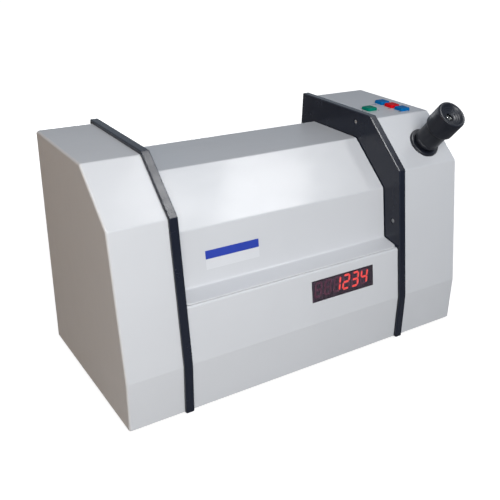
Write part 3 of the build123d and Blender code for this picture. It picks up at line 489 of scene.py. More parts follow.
@dataclass(frozen=True)
class GlowFinish(Finish):
    """A segment that glows, a little dimmer in its flecks: a lit lamp segment, and for unlit
    segments a painted glow that stands in for the light they reflect.
    """

    glow: Colour = (255, 70, 40)
    power: float = 4.0
    dimmer: float = 0.22
    patch: float = 5.0

    def build(self) -> bpy.types.Material:
        """Builds the material.

        Returns:
            The glowing segment's material.
        """
        material = bpy.data.materials.new(self.name)
        sheet = Sheet.cleared(material)
        shader = sheet.add("BsdfPrincipled", Roughness=self.roughness,
                           Emission_Strength=self.power)
        sheet.show(shader.outputs[0])
        cloud = sheet.add("Group", node_tree=Effects.handling(), Patch=self.patch)
        grain = sheet.add("Group", node_tree=Effects.grain(), Size=self.grain, Mix=0.3)
        base, bright = linear(self.colour), linear(self.glow)
        colour = sheet.blend(cloud.outputs["Tone"], base, dimmed(base, self.tone))
        sheet.put(colour, shader.inputs["Base Color"])
        light = sheet.blend(grain.outputs["Fleck"], bright, dimmed(bright, self.dimmer))
        sheet.put(light, shader.inputs["Emission Color"])
        return material


class Finishes:
    """Every finish of the instrument, built when a piece first asks for it."""

    catalogue: dict[str, Finish] = {
        f.name: f
        for f in (
            # The paints lighten to near white along sharp edges, most on the lid: partly wear,
            # partly a painted highlight along edges such as the lip's front edge.
            *(Finish(f"{part} paint", "casing_paint", (205, 206, 210), roughness=0.40, coat=0.10,
                     grain=0.9, depth=0.010, tone=0.015, edge_wear_and_highlight=edge_wear_and_highlight, worn_and_highlit=worn_and_highlit, dust=0.04, edge=edge)
              for part, edge_wear_and_highlight, worn_and_highlit, edge in (("case", 0.22, (240, 240, 243), 0.55),
                                             ("lid", 0.6, (250, 250, 252), 0.8))),
            Finish("frame paint", "dark_frame", (20, 25, 40), roughness=0.22, grain=0.8,
                   depth=0.012, tone=0.08, worn_and_highlit=(70, 74, 86), edge_wear_and_highlight=0.25, dust=0.01, edge=0.7,
                   specular=0.4),
            Finish("black coat", "black_coat", (14, 18, 29), roughness=0.32, grain=0.5, depth=0.008,
                   tone=0.1, worn_and_highlit=(70, 72, 82), edge_wear_and_highlight=0.25, dust=0.02, edge=0.4, specular=0.4),
            Finish("base sheet", "inner_steel", (150, 152, 154), Style.BRUSHED, 0.42, metallic=1.0,
                   grain=0.5, depth=0.006, tone=0.06, dust=0.1, brush=(0.05, 1.0, 1.0)),
            Finish("bright steel", "screw_steel", (190, 190, 192), Style.BRUSHED, 0.28,
                   metallic=1.0, grain=0.3, depth=0.004, tone=0.06, edge_wear_and_highlight=0.1, dust=0.03, edge=0.2,
                   brush=(1.0, 0.2, 1.0)),
            Finish("machined aluminium", "bare_aluminium", (205, 207, 210), Style.TURNED, 0.33,
                   metallic=1.0, grain=0.35, depth=0.006, tone=0.04, edge_wear_and_highlight=0.1, dust=0.05, edge=0.3,
                   brush=(0.1, 1.0, 1.0)),
            Finish("gear brass", "brass", (205, 170, 100), Style.TURNED, 0.3, metallic=1.0,
                   grain=0.35, depth=0.005, tone=0.08, edge_wear_and_highlight=0.2, worn_and_highlit=(235, 210, 150), dust=0.04,
                   edge=0.2, brush=(0.1, 1.0, 1.0)),
            Finish("foot rubber", "rubber", (28, 28, 29), Style.MOULDED, 0.75, grain=0.4,
                   depth=0.02, tone=0.12, worn_and_highlit=(70, 70, 70), edge_wear_and_highlight=0.3, dust=0.25, edge=0.4),
            Finish("eyepiece plastic", "black_plastic", (14, 18, 30), Style.MOULDED, 0.36,
                   grain=0.35, depth=0.006, tone=0.1, worn_and_highlit=(70, 72, 82), edge_wear_and_highlight=0.2, dust=0.01,
                   edge=0.35, specular=0.4),
            Finish("fitting plastic", "black_plastic", (27, 27, 29), Style.MOULDED, 0.45, grain=0.3,
                   depth=0.008, tone=0.1, worn_and_highlit=(90, 90, 92), edge_wear_and_highlight=0.2, dust=0.08, edge=0.3),
            Finish("board lacquer", "green_board", (26, 84, 48), Style.BOARD, 0.35, coat=0.4,
                   grain=0.4, depth=0.01, tone=0.1, edge_wear_and_highlight=0.05, dust=0.1, edge=0.15),
            Finish("digit body", "digit_module", (96, 74, 88), Style.MOULDED, 0.5, grain=0.3,
                   depth=0.006, tone=0.08, edge_wear_and_highlight=0.0, dust=0.0, edge=0.1),
            *(Finish(f"{hue} cap", f"{hue}_cap", colour, Style.MOULDED, 0.45, specular=0.05,
                     grain=0.35, depth=0.004, tone=0.05, worn_and_highlit=worn_and_highlit, edge_wear_and_highlight=0.12, dust=0.03, edge=0.4)
              for hue, colour, worn_and_highlit in (("green", (0, 124, 104), (70, 180, 150)),
                                        ("blue", (0, 104, 172), (60, 150, 220)),
                                        ("red", (212, 14, 28), (240, 90, 90)))),
            Finish("blue band", "blue_cap", (38, 62, 168), Style.POWDER, 0.35, coat=0.3, grain=0.5,
                   depth=0.003, tone=0.04, worn_and_highlit=(90, 110, 190), edge_wear_and_highlight=0.05, dust=0.02, edge=0.1),
            Finish("label ground", "casing_paint", (214, 215, 219), Style.POWDER, 0.38, grain=0.6,
                   depth=0.004, tone=0.02, edge_wear_and_highlight=0.02, dust=0.02, edge=0.1),
            Finish("mark ink", "black_plastic", (62, 64, 70), Style.MOULDED, 0.6, grain=0.3,
                   depth=0.004, tone=0.1, edge_wear_and_highlight=0.0, dust=0.02, edge=0.05),
            Finish("white ink", "casing_paint", (225, 225, 225), Style.MOULDED, 0.55, grain=0.3,
                   depth=0.004, tone=0.05, edge_wear_and_highlight=0.0, dust=0.04, edge=0.05),
            Finish("iron stack", "core_iron", (58, 58, 62), Style.BRUSHED, 0.5, metallic=0.6,
                   grain=0.5, depth=0.05, tone=0.1, edge_wear_and_highlight=0.3, worn_and_highlit=(150, 110, 70), dust=0.1,
                   brush=(1.0, 0.05, 0.05)),
            GlassFinish("smoked window", "dark_window", (146, 126, 148), roughness=0.04,
                        rough_swing=0.06, tone=0.1, clear=0.9, index=1.49),
            GlassFinish("clear glass", "clear_glass", (238, 244, 242), roughness=0.0,
                        rough_swing=0.03, tone=0.03, index=1.52),
            GlassFinish("amber glass", "amber_glass", (240, 168, 50), roughness=0.02,
                        rough_swing=0.03, tone=0.05, index=1.52),
            GlassFinish("grey film", "film", (120, 126, 122), roughness=0.05, rough_swing=0.04,
                        tone=0.06, index=1.45),
            Finish("silvered mirror", "mirror_glass", (235, 236, 238), Style.MOULDED, 0.02, 0.03,
                   metallic=1.0, grain=0.5, depth=0.0005, tone=0.01, edge_wear_and_highlight=0.0, dust=0.02, edge=0.1),
            GlowFinish("lit segment", "digit_module", (200, 60, 40), roughness=0.4, tone=0.1,
                       grain=0.5, glow=(255, 92, 66), power=4.6),
            # Unlit segments glow faintly: a painted glow that stands in for the light they reflect.
            GlowFinish("unlit segment painted glow", "digit_module", (112, 58, 78), roughness=0.4, tone=0.15,
                       grain=0.5, glow=(150, 70, 92), power=0.95),
        )
    }
    ready: dict[str, bpy.types.Material] = {}

    @classmethod
    def get(cls, name: str) -> bpy.types.Material:
        """Gives a finish's material, built the first time.

        Args:
            name: The finish's name.

        Returns:
            The material.
        """
        if name not in cls.ready:
            cls.ready[name] = cls.catalogue[name].build()
        return cls.ready[name]

    @classmethod
    def dress(cls, piece: bpy.types.Object, name: str) -> None:
        """Puts one finish over a whole piece.

        Args:
            piece: A made piece or a CAD node's object.
            name: The finish's name.
        """
        material = cls.get(name)
        if not piece.material_slots:
            piece.data.materials.append(material)
        for slot in piece.material_slots:
            slot.material = material


def dress_nodes(finish: str, *nodes: str) -> None:
    """Puts a finish on CAD nodes and reports it.

    Args:
        finish: The finish's name.
        nodes: The nodes' names.
    """
    for node in nodes:
        Finishes.dress(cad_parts[node], finish)
    LOG.info("%s on %s", finish, ", ".join(nodes))


@dataclass
class Mould:
    """Gathers the corners and faces of one new piece, in millimetres."""

    name: str
    body: str
    finish: str
    corners: list[Vector] = field(default_factory=list)
    faces: list[tuple[int, ...]] = field(default_factory=list)

    def spin(self, frame_of: Matrix, profile: list[Spot], sides: int) -> None:
        """Turns a profile, whose last point joins the first, about an axis.

        Args:
            frame_of: Places the axis: its Z column is the axis, its origin the start.
            profile: Points as distance along the axis and radius, in millimetres.
            sides: How many steps go round.
        """
        start = len(self.corners)
        count = len(profile)
        for step in range(sides):
            angle = 2 * math.pi * step / sides
            c, s = math.cos(angle), math.sin(angle)
            self.corners += [frame_of @ Vector((radius * c, radius * s, along))
                             for along, radius in profile]
        for step in range(sides):
            here, there = start + step * count, start + (step + 1) % sides * count
            for i in range(count):
                j = (i + 1) % count
                self.faces.append((here + i, there + i, there + j, here + j))

    def slab(self, frame_of: Matrix, outline: list[Spot], low: float, high: float) -> None:
        """Raises an outline into a slab.

        Args:
            frame_of: Places the outline's plane.
            outline: Corners in the plane, anticlockwise.
            low: Height of the under face above the plane.
            high: Height of the upper face above the plane.
        """
        self.layers([[frame_of @ Vector((x, y, height)) for x, y in outline]
                     for height in (low, high)])

    def layers(self, rings: list[list[Vector]]) -> None:
        """Skins a stack of rings, capped at both ends.

        Args:
            rings: The rings' corners, each with the same number of them.
        """
        start = len(self.corners)
        count = len(rings[0])
        for ring in rings:
            self.corners += ring
        for level in range(len(rings) - 1):
            for i in range(count):
                j = (i + 1) % count
                here, up = start + level * count, start + (level + 1) * count
                self.faces.append((here + i, here + j, up + j, up + i))
        self.faces.append(tuple(start + i for i in reversed(range(count))))
        self.faces.append(tuple(start + (len(rings) - 1) * count + i for i in range(count)))

    def cast(self, smooth_below: float = 32.0) -> bpy.types.Object:
        """Makes the Blender piece, finishes it and lets it ride on its body.

        Args:
            smooth_below: Edges with less than this angle, in degrees, are shaded smooth.

        Returns:
            The new piece.
        """
        mesh = bpy.data.meshes.new(self.name)
        mesh.from_pydata([c * MM for c in self.corners], [], self.faces)
        work = bmesh.new()
        work.from_mesh(mesh)
        bmesh.ops.recalc_face_normals(work, faces=work.faces)
        limit = math.radians(smooth_below)
        for face in work.faces:
            face.smooth = True
        for edge in work.edges:
            edge.smooth = len(edge.link_faces) == 2 and edge.calc_face_angle(0.0) < limit
        work.to_mesh(mesh)
        work.free()
        piece = bpy.data.objects.new(self.name, mesh)
        bpy.context.scene.collection.objects.link(piece)
        Finishes.dress(piece, self.finish)
        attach(piece, self.body)
        LOG.info("%s rides on %s in %s", self.name, self.body, self.finish)
        return piece


def placed(origin: Point, across: Point, out: Point) -> Matrix:
    """Places a plane.

    Args:
        origin: The plane's origin, in millimetres.
        across: The direction of its first axis.
        out: Its normal.

    Returns:
        The matrix from the plane to the part's frame.
    """
    z = Vector(out).normalized()
    x = Vector(across).normalized()
    y = z.cross(x)
    turn = Matrix((x, y, z)).transposed().to_4x4()
    return Matrix.Translation(Vector(origin)) @ turn


def rounded(width: float, height: float, radius: float, steps: int,
            centre: Spot = (0.0, 0.0)) -> list[Spot]:
    """Outline of a rectangle with round corners.

    Args:
        width: Full size along the first axis.
        height: Full size along the second axis.
        radius: Corner radius.
        steps: Points round each corner.
        centre: The middle of the outline.

    Returns:
        Its corners, anticlockwise.
    """
    points = []
    for sx, sy, first in ((1, 1, 0), (-1, 1, 90), (-1, -1, 180), (1, -1, 270)):
        for step in range(steps + 1):
            angle = math.radians(first + 90 * step / steps)
            points.append((centre[0] + sx * (width / 2 - radius) + radius * math.cos(angle),
                           centre[1] + sy * (height / 2 - radius) + radius * math.sin(angle)))
    return points


def oblong(x: float, y: float, width: float, height: float) -> list[Spot]:
    """Outline of a rectangle with sharp corners about its middle, anticlockwise."""
    return [(x + width / 2 * sx, y + height / 2 * sy)
            for sx, sy in ((-1, -1), (1, -1), (1, 1), (-1, 1))]


def rod(radius: float, start: float, end: float) -> list[Spot]:
    """Profile of a plain round rod, for Mould.spin."""
    return [(start, radius), (start, AXIS_R), (end, AXIS_R), (end, radius)]


@dataclass
class Housing:
    """Casings, frames, panels and what holds them together."""

    left_seam: float = -156.0
    right_seam: float = 132.0
    frame_t: float = 9.0
    head_r: float = 2.7
    head_t: float = 1.9
    recess: float = 0.4
    shank_r: float = 1.5
    shank_l: float = 9.0
    lap: float = 0.2
    rear_head_r: float = 3.0
    back: float = 101.3
    screw_places: tuple[Spot, ...] = (
        (2.5, 238.8), (-75.8, 144.2), (92.7, 207.4), (92.7, 57.8), (-91.3, 37.8))
    rear_screws: tuple[Spot, ...] = (
        (-136.0, 190.0), (-136.0, 24.0), (112.0, 190.0), (112.0, 24.0), (-12.0, 190.0),
        (-12.0, 24.0))

    def dress(self) -> None:
        """Finishes the sheet and plate nodes."""
        dress_nodes("case paint", "left_casing", "right_casing", "front_panel", "rear_panel")
        dress_nodes("frame paint", "left_frame", "right_frame")
        dress_nodes("base sheet", "base_plate")
        dress_nodes("foot rubber", "feet")

    @staticmethod
    def screw_head(mould: Mould, seat: Matrix, radius: float, height: float) -> None:
        """Adds one pan head with a cross recess.

        Args:
            mould: The piece that gets the head.
            seat: Places the head's under face, with the normal outward.
            radius: The head's radius in millimetres.
            height: The head's height in millimetres.
        """
        arm, half = radius * 0.62, radius * 0.15
        cross: list[Spot] = []
        for quarter in range(4):
            turn = math.pi / 2 * quarter
            c, s = math.cos(turn), math.sin(turn)
            cross += [(x * c - y * s, x * s + y * c)
                      for x, y in ((arm, -half), (arm, half), (half, half))]
        # The rings of the dome keep in step with the cross, so both have the same corners.
        dome = [(radius * math.cos(a), radius * math.sin(a))
                for a in (math.atan2(y, x) for x, y in cross)]
        mould.layers([
            [seat @ Vector((x * share, y * share, height * rise)) for x, y in outline]
            for outline, share, rise in (
                (dome, 1.0, 0.0), (dome, 1.0, 0.35), (dome, 0.93, 0.68), (dome, 0.78, 0.88),
                (cross, 1.0, 1.0), (cross, 0.9, 0.35))
        ])

    def build(self) -> None:
        """Makes the screws in the frames and in the rear panel."""
        mould = Mould("frame_screw_heads", "body", "bright steel")
        depth = self.head_t + self.recess
        left, right = self.left_seam + self.frame_t, self.right_seam - self.frame_t
        for face, into in ((left, -1), (right, 1)):
            for y, z in self.screw_places:
                seat = placed((face + into * depth, y, z), (0, 1, 0), (-into, 0, 0))
                self.screw_head(mould, seat, self.head_r, self.head_t)
                mould.spin(seat, rod(self.shank_r, -self.shank_l, self.lap), 24)
        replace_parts(mould.cast(), "frame_screws")
        rear = Mould("rear_screw_heads", "body", "bright steel")
        for x, z in self.rear_screws:
            seat = placed((x, self.back, z), (1, 0, 0), (0, 1, 0))
            self.screw_head(rear, seat, self.rear_head_r, self.head_t)
        rear.cast()


@dataclass
class Lid:
    """The folded lid, its handle lip, its hinges and the plain label on it."""

    tip: Spot = (-88.107, 118.0)
    crease: Spot = (-66.807, 121.6)
    mid: Spot = (-56.207, 177.7)
    label_x: float = -110.2
    label_w: float = 62.0
    label_top: float = 0.585
    label_round: float = 0.5
    band_h: float = 8.6
    ground_h: float = 11.0
    ground_lap: float = 0.4
    proud: float = 0.16
    ground_proud: float = 0.1
    sunk: float = 0.1
    left: float = -146.0
    right: float = 122.0
    corner: float = 6.0
    hem_r: float = 0.75
    hem_steps: int = 6
    hem_sides: int = 12

    def front(self, share: float) -> Matrix:
        """Places a plane on the lid's front face.

        Args:
            share: Height up the face, from 0 at the crease to 1 at the upper fold.

        Returns:
            The plane at the label's left edge.
        """
        y = self.crease[0] + (self.mid[0] - self.crease[0]) * share
        z = self.crease[1] + (self.mid[1] - self.crease[1]) * share
        up = Vector((0, self.mid[0] - self.crease[0], self.mid[1] - self.crease[1])).normalized()
        out = Vector((1, 0, 0)).cross(up)
        return placed((self.label_x, y, z), (1, 0, 0), tuple(out))

    def plate(self, name: str, finish: str, drop: float, height: float, proud: float) -> None:
        """Lays one plain plate of the label on the lid's front.

        Args:
            name: The piece's name.
            finish: The finish's name.
            drop: How far its middle lies below the label's top, in millimetres.
            height: Its height in millimetres.
            proud: How far it stands out, in millimetres.
        """
        mould = Mould(name, "lid", finish)
        outline = rounded(self.label_w, height, self.label_round, 3, (self.label_w / 2, -drop))
        mould.slab(self.front(self.label_top), outline, -self.sunk, proud)
        mould.cast()

    def build(self) -> None:
        """Finishes the lid, hems its lip and lays the plain label on its front."""
        dress_nodes("lid paint", "chamber_lid")
        dress_nodes("bright steel", "lid_knuckles", "hinge_brackets", "hinge_pins")
        dress_nodes("foot rubber", "lid_bumpers")
        self.plate("label_band", "blue band", self.band_h / 2, self.band_h, self.proud)
        self.hem()
        drop = self.band_h + self.ground_h / 2 - self.ground_lap
        self.plate("label_ground", "label ground", drop, self.ground_h, self.ground_proud)

    def hem(self) -> None:
        """Rolls a rounded hem along the front edge of the handle lip and round its corners."""
        run, rise = self.crease[0] - self.tip[0], self.crease[1] - self.tip[1]
        back = Vector((0, run, rise)).normalized()
        over = Vector((1, 0, 0)).cross(back)
        start = Vector((0, self.tip[0], self.tip[1])) - over * self.hem_r
        path: list[tuple[Vector, Vector]] = []
        for middle, first in ((self.left + self.corner, 180), (self.right - self.corner, 270)):
            for step in range(self.hem_steps + 1):
                angle = math.radians(first + 90 * step / self.hem_steps)
                out = Vector((math.cos(angle), 0, 0)) + back * math.sin(angle)
                spot = start + Vector((middle, 0, 0)) + back * self.corner + out * self.corner
                path.append((spot, out))
        angles = [2 * math.pi * side / self.hem_sides for side in range(self.hem_sides)]
        bead = Mould("lip_hem", "lid", "lid paint")
        bead.layers([[spot + self.hem_r * (out * math.cos(a) + over * math.sin(a)) for a in angles]
                     for spot, out in path])
        bead.cast(50.0)


@dataclass
class Eyepiece:
    """Collar, barrel and eyecup, turned about the eyepiece axis."""

    origin: Point = (181.0, -52.396, 220.171)
    axis: Point = (0.0, -0.64811, 0.76156)
    cup: tuple[Spot, ...] = (
        (30.0, 14.0), (30.05, 15.6), (30.5, 16.35), (31.3, 16.8), (32.2, 16.85), (44.0, 16.85),
        (52.8, 16.85), (53.8, 16.65), (54.5, 16.2), (54.9, 15.5), (55.0, 14.8), (54.9, 14.1),
        (54.6, 13.5), (53.9, 12.8), (53.2, 11.9), (52.9, 11.8), (52.7, 11.5), (52.1, 9.9),
        (51.8, 9.8), (51.6, 9.5), (51.1, 7.8), (50.8, 7.7), (50.6, 7.4), (50.3, 6.0), (50.0, 4.9),
        (49.5, 4.3), (46.0, 4.2), (45.8, 10.5), (30.0, 10.5))
    eye_lens: tuple[Spot, ...] = (
        (46.6, AXIS_R), (46.6, 4.15), (48.2, 4.15), (48.45, 3.4), (48.7, 2.5), (48.87, 1.5),
        (48.95, AXIS_R))
    barrel: tuple[Spot, ...] = (
        (5.0, 12.55), (5.0, 13.6), (5.3, 14.0), (6.0, 14.1), (9.0, 14.1), (9.3, 13.75),
        (9.9, 13.75), (10.2, 14.1), (29.9, 14.1), (29.95, 10.55), (25.0, 10.55), (25.0, 12.55))
    collar: tuple[Spot, ...] = (
        (0.0, 12.52), (0.0, 18.2), (1.1, 18.2), (1.35, 17.8), (1.75, 17.8), (2.0, 18.1),
        (2.6, 17.9), (3.0, 17.5), (3.2, 16.9), (3.2, 15.8), (2.8, 15.4), (2.8, 12.52))

    def seat(self) -> Matrix:
        """Places the eyepiece axis."""
        return placed(self.origin, (1, 0, 0), self.axis)

    def build(self) -> None:
        """Makes the turned pieces and finishes the tubes inside them."""
        for name, body, node, profile, finish in (
            ("eyecup_turned", "eyepiece", "eyecup", self.cup, "eyepiece plastic"),
            ("barrel_turned", "eyepiece", "eyepiece_barrel", self.barrel, "black coat"),
            ("collar_turned", "body", "eyepiece_collar", self.collar, "black coat"),
        ):
            mould = Mould(name, body, finish)
            mould.spin(self.seat(), list(profile), 96)
            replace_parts(mould.cast(26.0), node)
        lens = Mould("eye_lens", "eyepiece", "clear glass")
        lens.spin(self.seat(), list(self.eye_lens), 48)
        lens.cast()
        dress_nodes("black coat", "telescope_tube", "focus_sleeve")
        dress_nodes("clear glass", "objective_lens", "eyepiece_lenses")


@dataclass
class Buttons:
    """Four push buttons and the marks printed beside them."""

    top: float = 247.4
    size: float = 13.0
    up: float = 3.5
    down: float = 4.0
    corner: float = 1.0
    crown: float = 1.0
    crown_round: float = 1.6
    dish_round: float = 2.6
    dish: tuple[Spot, ...] = ((3.0, 0.12), (5.0, 0.22))
    stem_r: float = 2.0
    lap: float = 0.2
    mark_gap: float = 13.5
    mark_t: float = 0.8
    plus_l: float = 3.2
    bar_l: float = 2.8
    ink_low: float = -0.02
    ink_high: float = 0.05
    places: dict[str, tuple[float, float, str]] = field(default_factory=lambda: {
        "button_green": (152.0, 12.3, "green cap"),
        "button_blue_rear": (187.7, 29.6, "blue cap"),
        "button_red": (187.7, 12.3, "red cap"),
        "button_blue_front": (187.7, -5.0, "blue cap"),
    })

    def ring(self, x: float, y: float, z: float, inset: float, radius: float) -> list[Vector]:
        """One level of a cap.

        Args:
            x: The cap's middle along the body.
            y: The cap's middle across it.
            z: The level's height.
            inset: How far the level lies in from the cap's sides.
            radius: The corner radius before the inset.

        Returns:
            Its corners, in millimetres.
        """
        size = self.size - 2 * inset
        outline = rounded(size, size, max(radius - inset, 0.25), 5)
        return [Vector((x + a, y + b, z)) for a, b in outline]

    def build(self) -> None:
        """Makes the crowned caps and the marks."""
        low, z = self.top - self.down, self.top + self.up
        for node, (x, y, finish) in self.places.items():
            rings = [self.ring(x, y, low, 0.0, self.corner),
                     self.ring(x, y, z - self.crown, 0.0, self.corner)]
            for step in range(1, 5):
                angle = math.radians(90 * step / 4)
                rings.append(self.ring(x, y, z - self.crown + self.crown * math.sin(angle),
                                       self.crown * (1.0 - math.cos(angle)), self.crown_round))
            rings += [self.ring(x, y, z - sink, inset, self.dish_round)
                      for inset, sink in self.dish]
            cap = Mould(node + "_cap", node, finish)
            cap.layers(rings)
            stem = placed((x, y, low), (1, 0, 0), (0, 0, -1))
            cap.spin(stem, rod(self.stem_r, -self.lap, self.down), 24)
            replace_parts(cap.cast(40.0), node)
        self.marks()

    def marks(self) -> None:
        """Prints plain dashes, arrow heads and crosses beside the buttons."""
        ink = Mould("button_marks", "body", "mark ink")
        deck = placed((0, 0, self.top), (1, 0, 0), (0, 0, 1))

        def stamp(outline: list[Spot], lift: float = 0.0) -> None:
            """Prints one outline, a little higher where it crosses another."""
            ink.slab(deck, outline, self.ink_low, self.ink_high + lift)

        green, rear, red, front = self.places.values()
        for x, y, _ in (green, rear):
            x -= self.mark_gap
            stamp(rounded(7.0, self.mark_t, 0.3, 2, (x, y)))
            stamp([(x + 2.2, y - 1.3), (x + 4.4, y), (x + 2.2, y + 1.3)])
        for x, y, _ in (red, front):
            stamp(oblong(x - 9.0, y - 5.5, self.plus_l, self.mark_t))
            stamp(oblong(x - 9.0, y - 5.5, self.mark_t, self.plus_l), 0.01)
        stamp(oblong(green[0] + 8.6, green[1] - 6.6, self.mark_t, self.bar_l))
        ink.cast()


@dataclass
class Display:
    """Smoked window with six leaning seven-segment figures behind it."""

    centre: Point = (43.0, -93.483, 93.6)
    out: Point = (0.0, -0.98431, 0.17647)
    pitch: float = 12.7
    figure_w: float = 10.2
    figure_h: float = 17.4
    stroke: float = 2.3
    gap: float = 0.25
    lean: float = 0.14
    behind: float = 4.5
    sunk: float = 0.05
    raised: float = 0.12
    reading: tuple[Reading, ...] = (
        Reading.BLANK, Reading.BLANK, Reading.ONE, Reading.TWO, Reading.THREE, Reading.FOUR)

    def seat(self) -> Matrix:
        """Places the window's outer face."""
        return placed(self.centre, (1, 0, 0), self.out)

    def segments(self, x: float) -> dict[str, list[Spot]]:
        """Outlines of one figure's seven segments.

        Args:
            x: The figure's middle along the window, in millimetres.

        Returns:
            The segments' names and outlines, leaning to the right.
        """
        w, h, t, gap = self.figure_w / 2, self.figure_h / 2, self.stroke / 2, self.gap
        shapes: dict[str, list[Spot]] = {}
        for name, y in (("a", h - t), ("g", 0.0), ("d", t - h)):
            left, right = -w + t + gap, w - t - gap
            shapes[name] = [(left, y), (left + t, y - t), (right - t, y - t), (right, y),
                            (right - t, y + t), (left + t, y + t)]
        upper, lower = (gap, h - t - gap), (t + gap - h, -gap)
        for name, cx, (low, high) in (("b", w - t, upper), ("f", t - w, upper),
                                      ("c", w - t, lower), ("e", t - w, lower)):
            shapes[name] = [(cx, low), (cx + t, low + t), (cx + t, high - t), (cx, high),
                            (cx - t, high - t), (cx - t, low + t)]
        return {name: [(x + px + self.lean * py, py) for px, py in shape]
                for name, shape in shapes.items()}

    def build(self) -> None:
        """Makes the lit and unlit segments, the unlit ones with a painted glow, and finishes the
        window and board.
        """
        lit = Mould("lit_segments", "body", "lit segment")
        # The unlit segments carry a painted glow in place of the light they reflect.
        dark = Mould("unlit_segments_painted_glow", "body", "unlit segment painted glow")
        seat = self.seat()
        for place, figure in enumerate(self.reading):
            x = self.pitch * (place - (len(self.reading) - 1) / 2)
            for name, outline in self.segments(x).items():
                mould = lit if name in figure.value else dark
                mould.slab(seat, outline, -self.behind - self.sunk, -self.behind + self.raised)
        lit.cast()
        dark.cast()
        dress_nodes("smoked window", "display_window")
        dress_nodes("digit body", "display_board")


@dataclass
class Chamber:
    """Sample tray, cradle and the beam windows in the frames."""

    def build(self) -> None:
        """Finishes the chamber's nodes."""
        dress_nodes("black coat", "chamber_tray", "tube_cradle", "cradle_legs", "window_rings")
        dress_nodes("clear glass", "beam_windows")


@dataclass
class LightSource:
    """Lamp, filter and polariser behind the left frame."""

    def build(self) -> None:
        """Finishes the lamp's nodes."""
        dress_nodes("black coat", "lamp_tube", "polariser_cell")
        dress_nodes("grey film", "polariser_films")
        dress_nodes("amber glass", "colour_filter")
        dress_nodes("clear glass", "condenser_lens")
        dress_nodes("board lacquer", "led_board")
        dress_nodes("machined aluminium", "heat_sink")


@dataclass
class Analyser:
    """Turning analyser, its gear, encoder and motor, and the folding mirror."""

    def build(self) -> None:
        """Finishes the drive's nodes."""
        dress_nodes("machined aluminium", "bearing_block", "analyser_hub", "encoder_rings",
                    "mirror_post")
        dress_nodes("gear brass", "analyser_gear", "motor_pinion")
        dress_nodes("bright steel", "motor_bracket", "drive_motor", "motor_shaft")
        dress_nodes("grey film", "analyser_film")
        dress_nodes("clear glass", "encoder_disc")
        dress_nodes("fitting plastic", "encoder_reader")
        dress_nodes("silvered mirror", "folding_mirror")


@dataclass
class Electronics:
    """Boards, their posts and the transformer."""

    def build(self) -> None:
        """Finishes the electronics' nodes."""
        dress_nodes("board lacquer", "button_board", "main_board")
        dress_nodes("bright steel", "board_posts")
        dress_nodes("iron stack", "transformer")


@dataclass
class RearFittings:
    """Mains inlet, rocker switch and fuse holder."""

    back: float = 101.3
    height: float = 46.0
    inlet_x: float = 78.0
    switch_x: float = 34.0
    ear_in: float = 14.6
    flange_t: float = 2.2
    ear_head_r: float = 1.7
    ear_head_t: float = 0.9
    pins: tuple[Spot, ...] = ((-7.0, -2.0), (0.0, 2.0), (7.0, -2.0))
    pin_w: float = 2.1
    pin_h: float = 4.1
    pin_l: float = 15.1
    pin_root: float = 16.9
    pivot_in: float = 5.0
    tilt: float = 10.0
    rocker_fall: Spot = (1.6, 7.0)
    mark_out: float = 5.8
    mark_up: float = 3.6
    mark_t: float = 0.08
    sunk: float = 0.1

    def build(self) -> None:
        """Finishes the fittings and adds the inlet's screws, its blades and the rocker's marks."""
        dress_nodes("fitting plastic", "power_inlet", "switch_body", "power_rocker", "fuse_holder")
        screws = Mould("inlet_screw_heads", "body", "bright steel")
        for side in (-1, 1):
            seat = self.seat(self.inlet_x + side * self.ear_in, self.flange_t, self.height)
            Housing.screw_head(screws, seat, self.ear_head_r, self.ear_head_t)
        screws.cast()
        blades = Mould("inlet_blades", "body", "bright steel")
        for dx, dz in self.pins:
            seat = self.seat(self.inlet_x + dx, -self.pin_root, self.height + dz)
            blades.slab(seat, rounded(self.pin_w, self.pin_h, 0.3, 2), 0.0, self.pin_l)
        blades.cast()
        self.marks()

    def seat(self, x: float, out: float, z: float) -> Matrix:
        """Places a plane that faces the rear, out from the rear panel."""
        return placed((x, self.back + out, z), (1, 0, 0), (0, 1, 0))

    def marks(self) -> None:
        """Prints the on and off marks on the rocker's two halves."""
        marks = Mould("rocker_marks", "rocker", "white ink")
        slope = math.atan2(*self.rocker_fall)
        turn = Matrix.Rotation(math.radians(self.tilt), 3, "X")
        pivot = Vector((self.switch_x, self.back - self.pivot_in, self.height))
        for sign in (-1, 1):
            middle = Vector((0.0, self.mark_out, sign * self.mark_up))
            normal = Vector((0.0, math.cos(slope), -sign * math.sin(slope)))
            seat = placed(tuple(pivot + turn @ middle), (1, 0, 0), tuple(turn @ normal))
            if sign < 0:
                marks.slab(seat, rounded(0.7, 3.4, 0.3, 2), -self.sunk, self.mark_t)
            else:
                marks.spin(seat, [(-self.sunk, 1.25), (self.mark_t, 1.25), (self.mark_t, 1.75),
                                  (-self.sunk, 1.75)], 32)
        marks.cast()


@dataclass(frozen=True)
class Softbox:
    """One soft lamp, in metres and watts, with its colour as a screen shows it."""

    name: str
    place: Point
    target: Point
    size: Spot
    power: float
    colour: Colour = (255, 255, 255)
    sheen_only: bool = False

    def hang(self) -> None:
        """Makes the lamp, which the camera doesn't see."""
        data = bpy.data.lights.new(self.name, "AREA")
        data.shape = "RECTANGLE"
        data.size, data.size_y = self.size
        data.energy = self.power
        data.color = linear(self.colour)[:3]
        lamp = bpy.data.objects.new(self.name, data)
        aim = Vector(self.target) - Vector(self.place)
        lamp.location = self.place
        lamp.rotation_euler = aim.to_track_quat("-Z", "Y").to_euler()
        lamp.visible_camera = False
        lamp.visible_diffuse = not self.sheen_only
        bpy.context.scene.collection.objects.link(lamp)


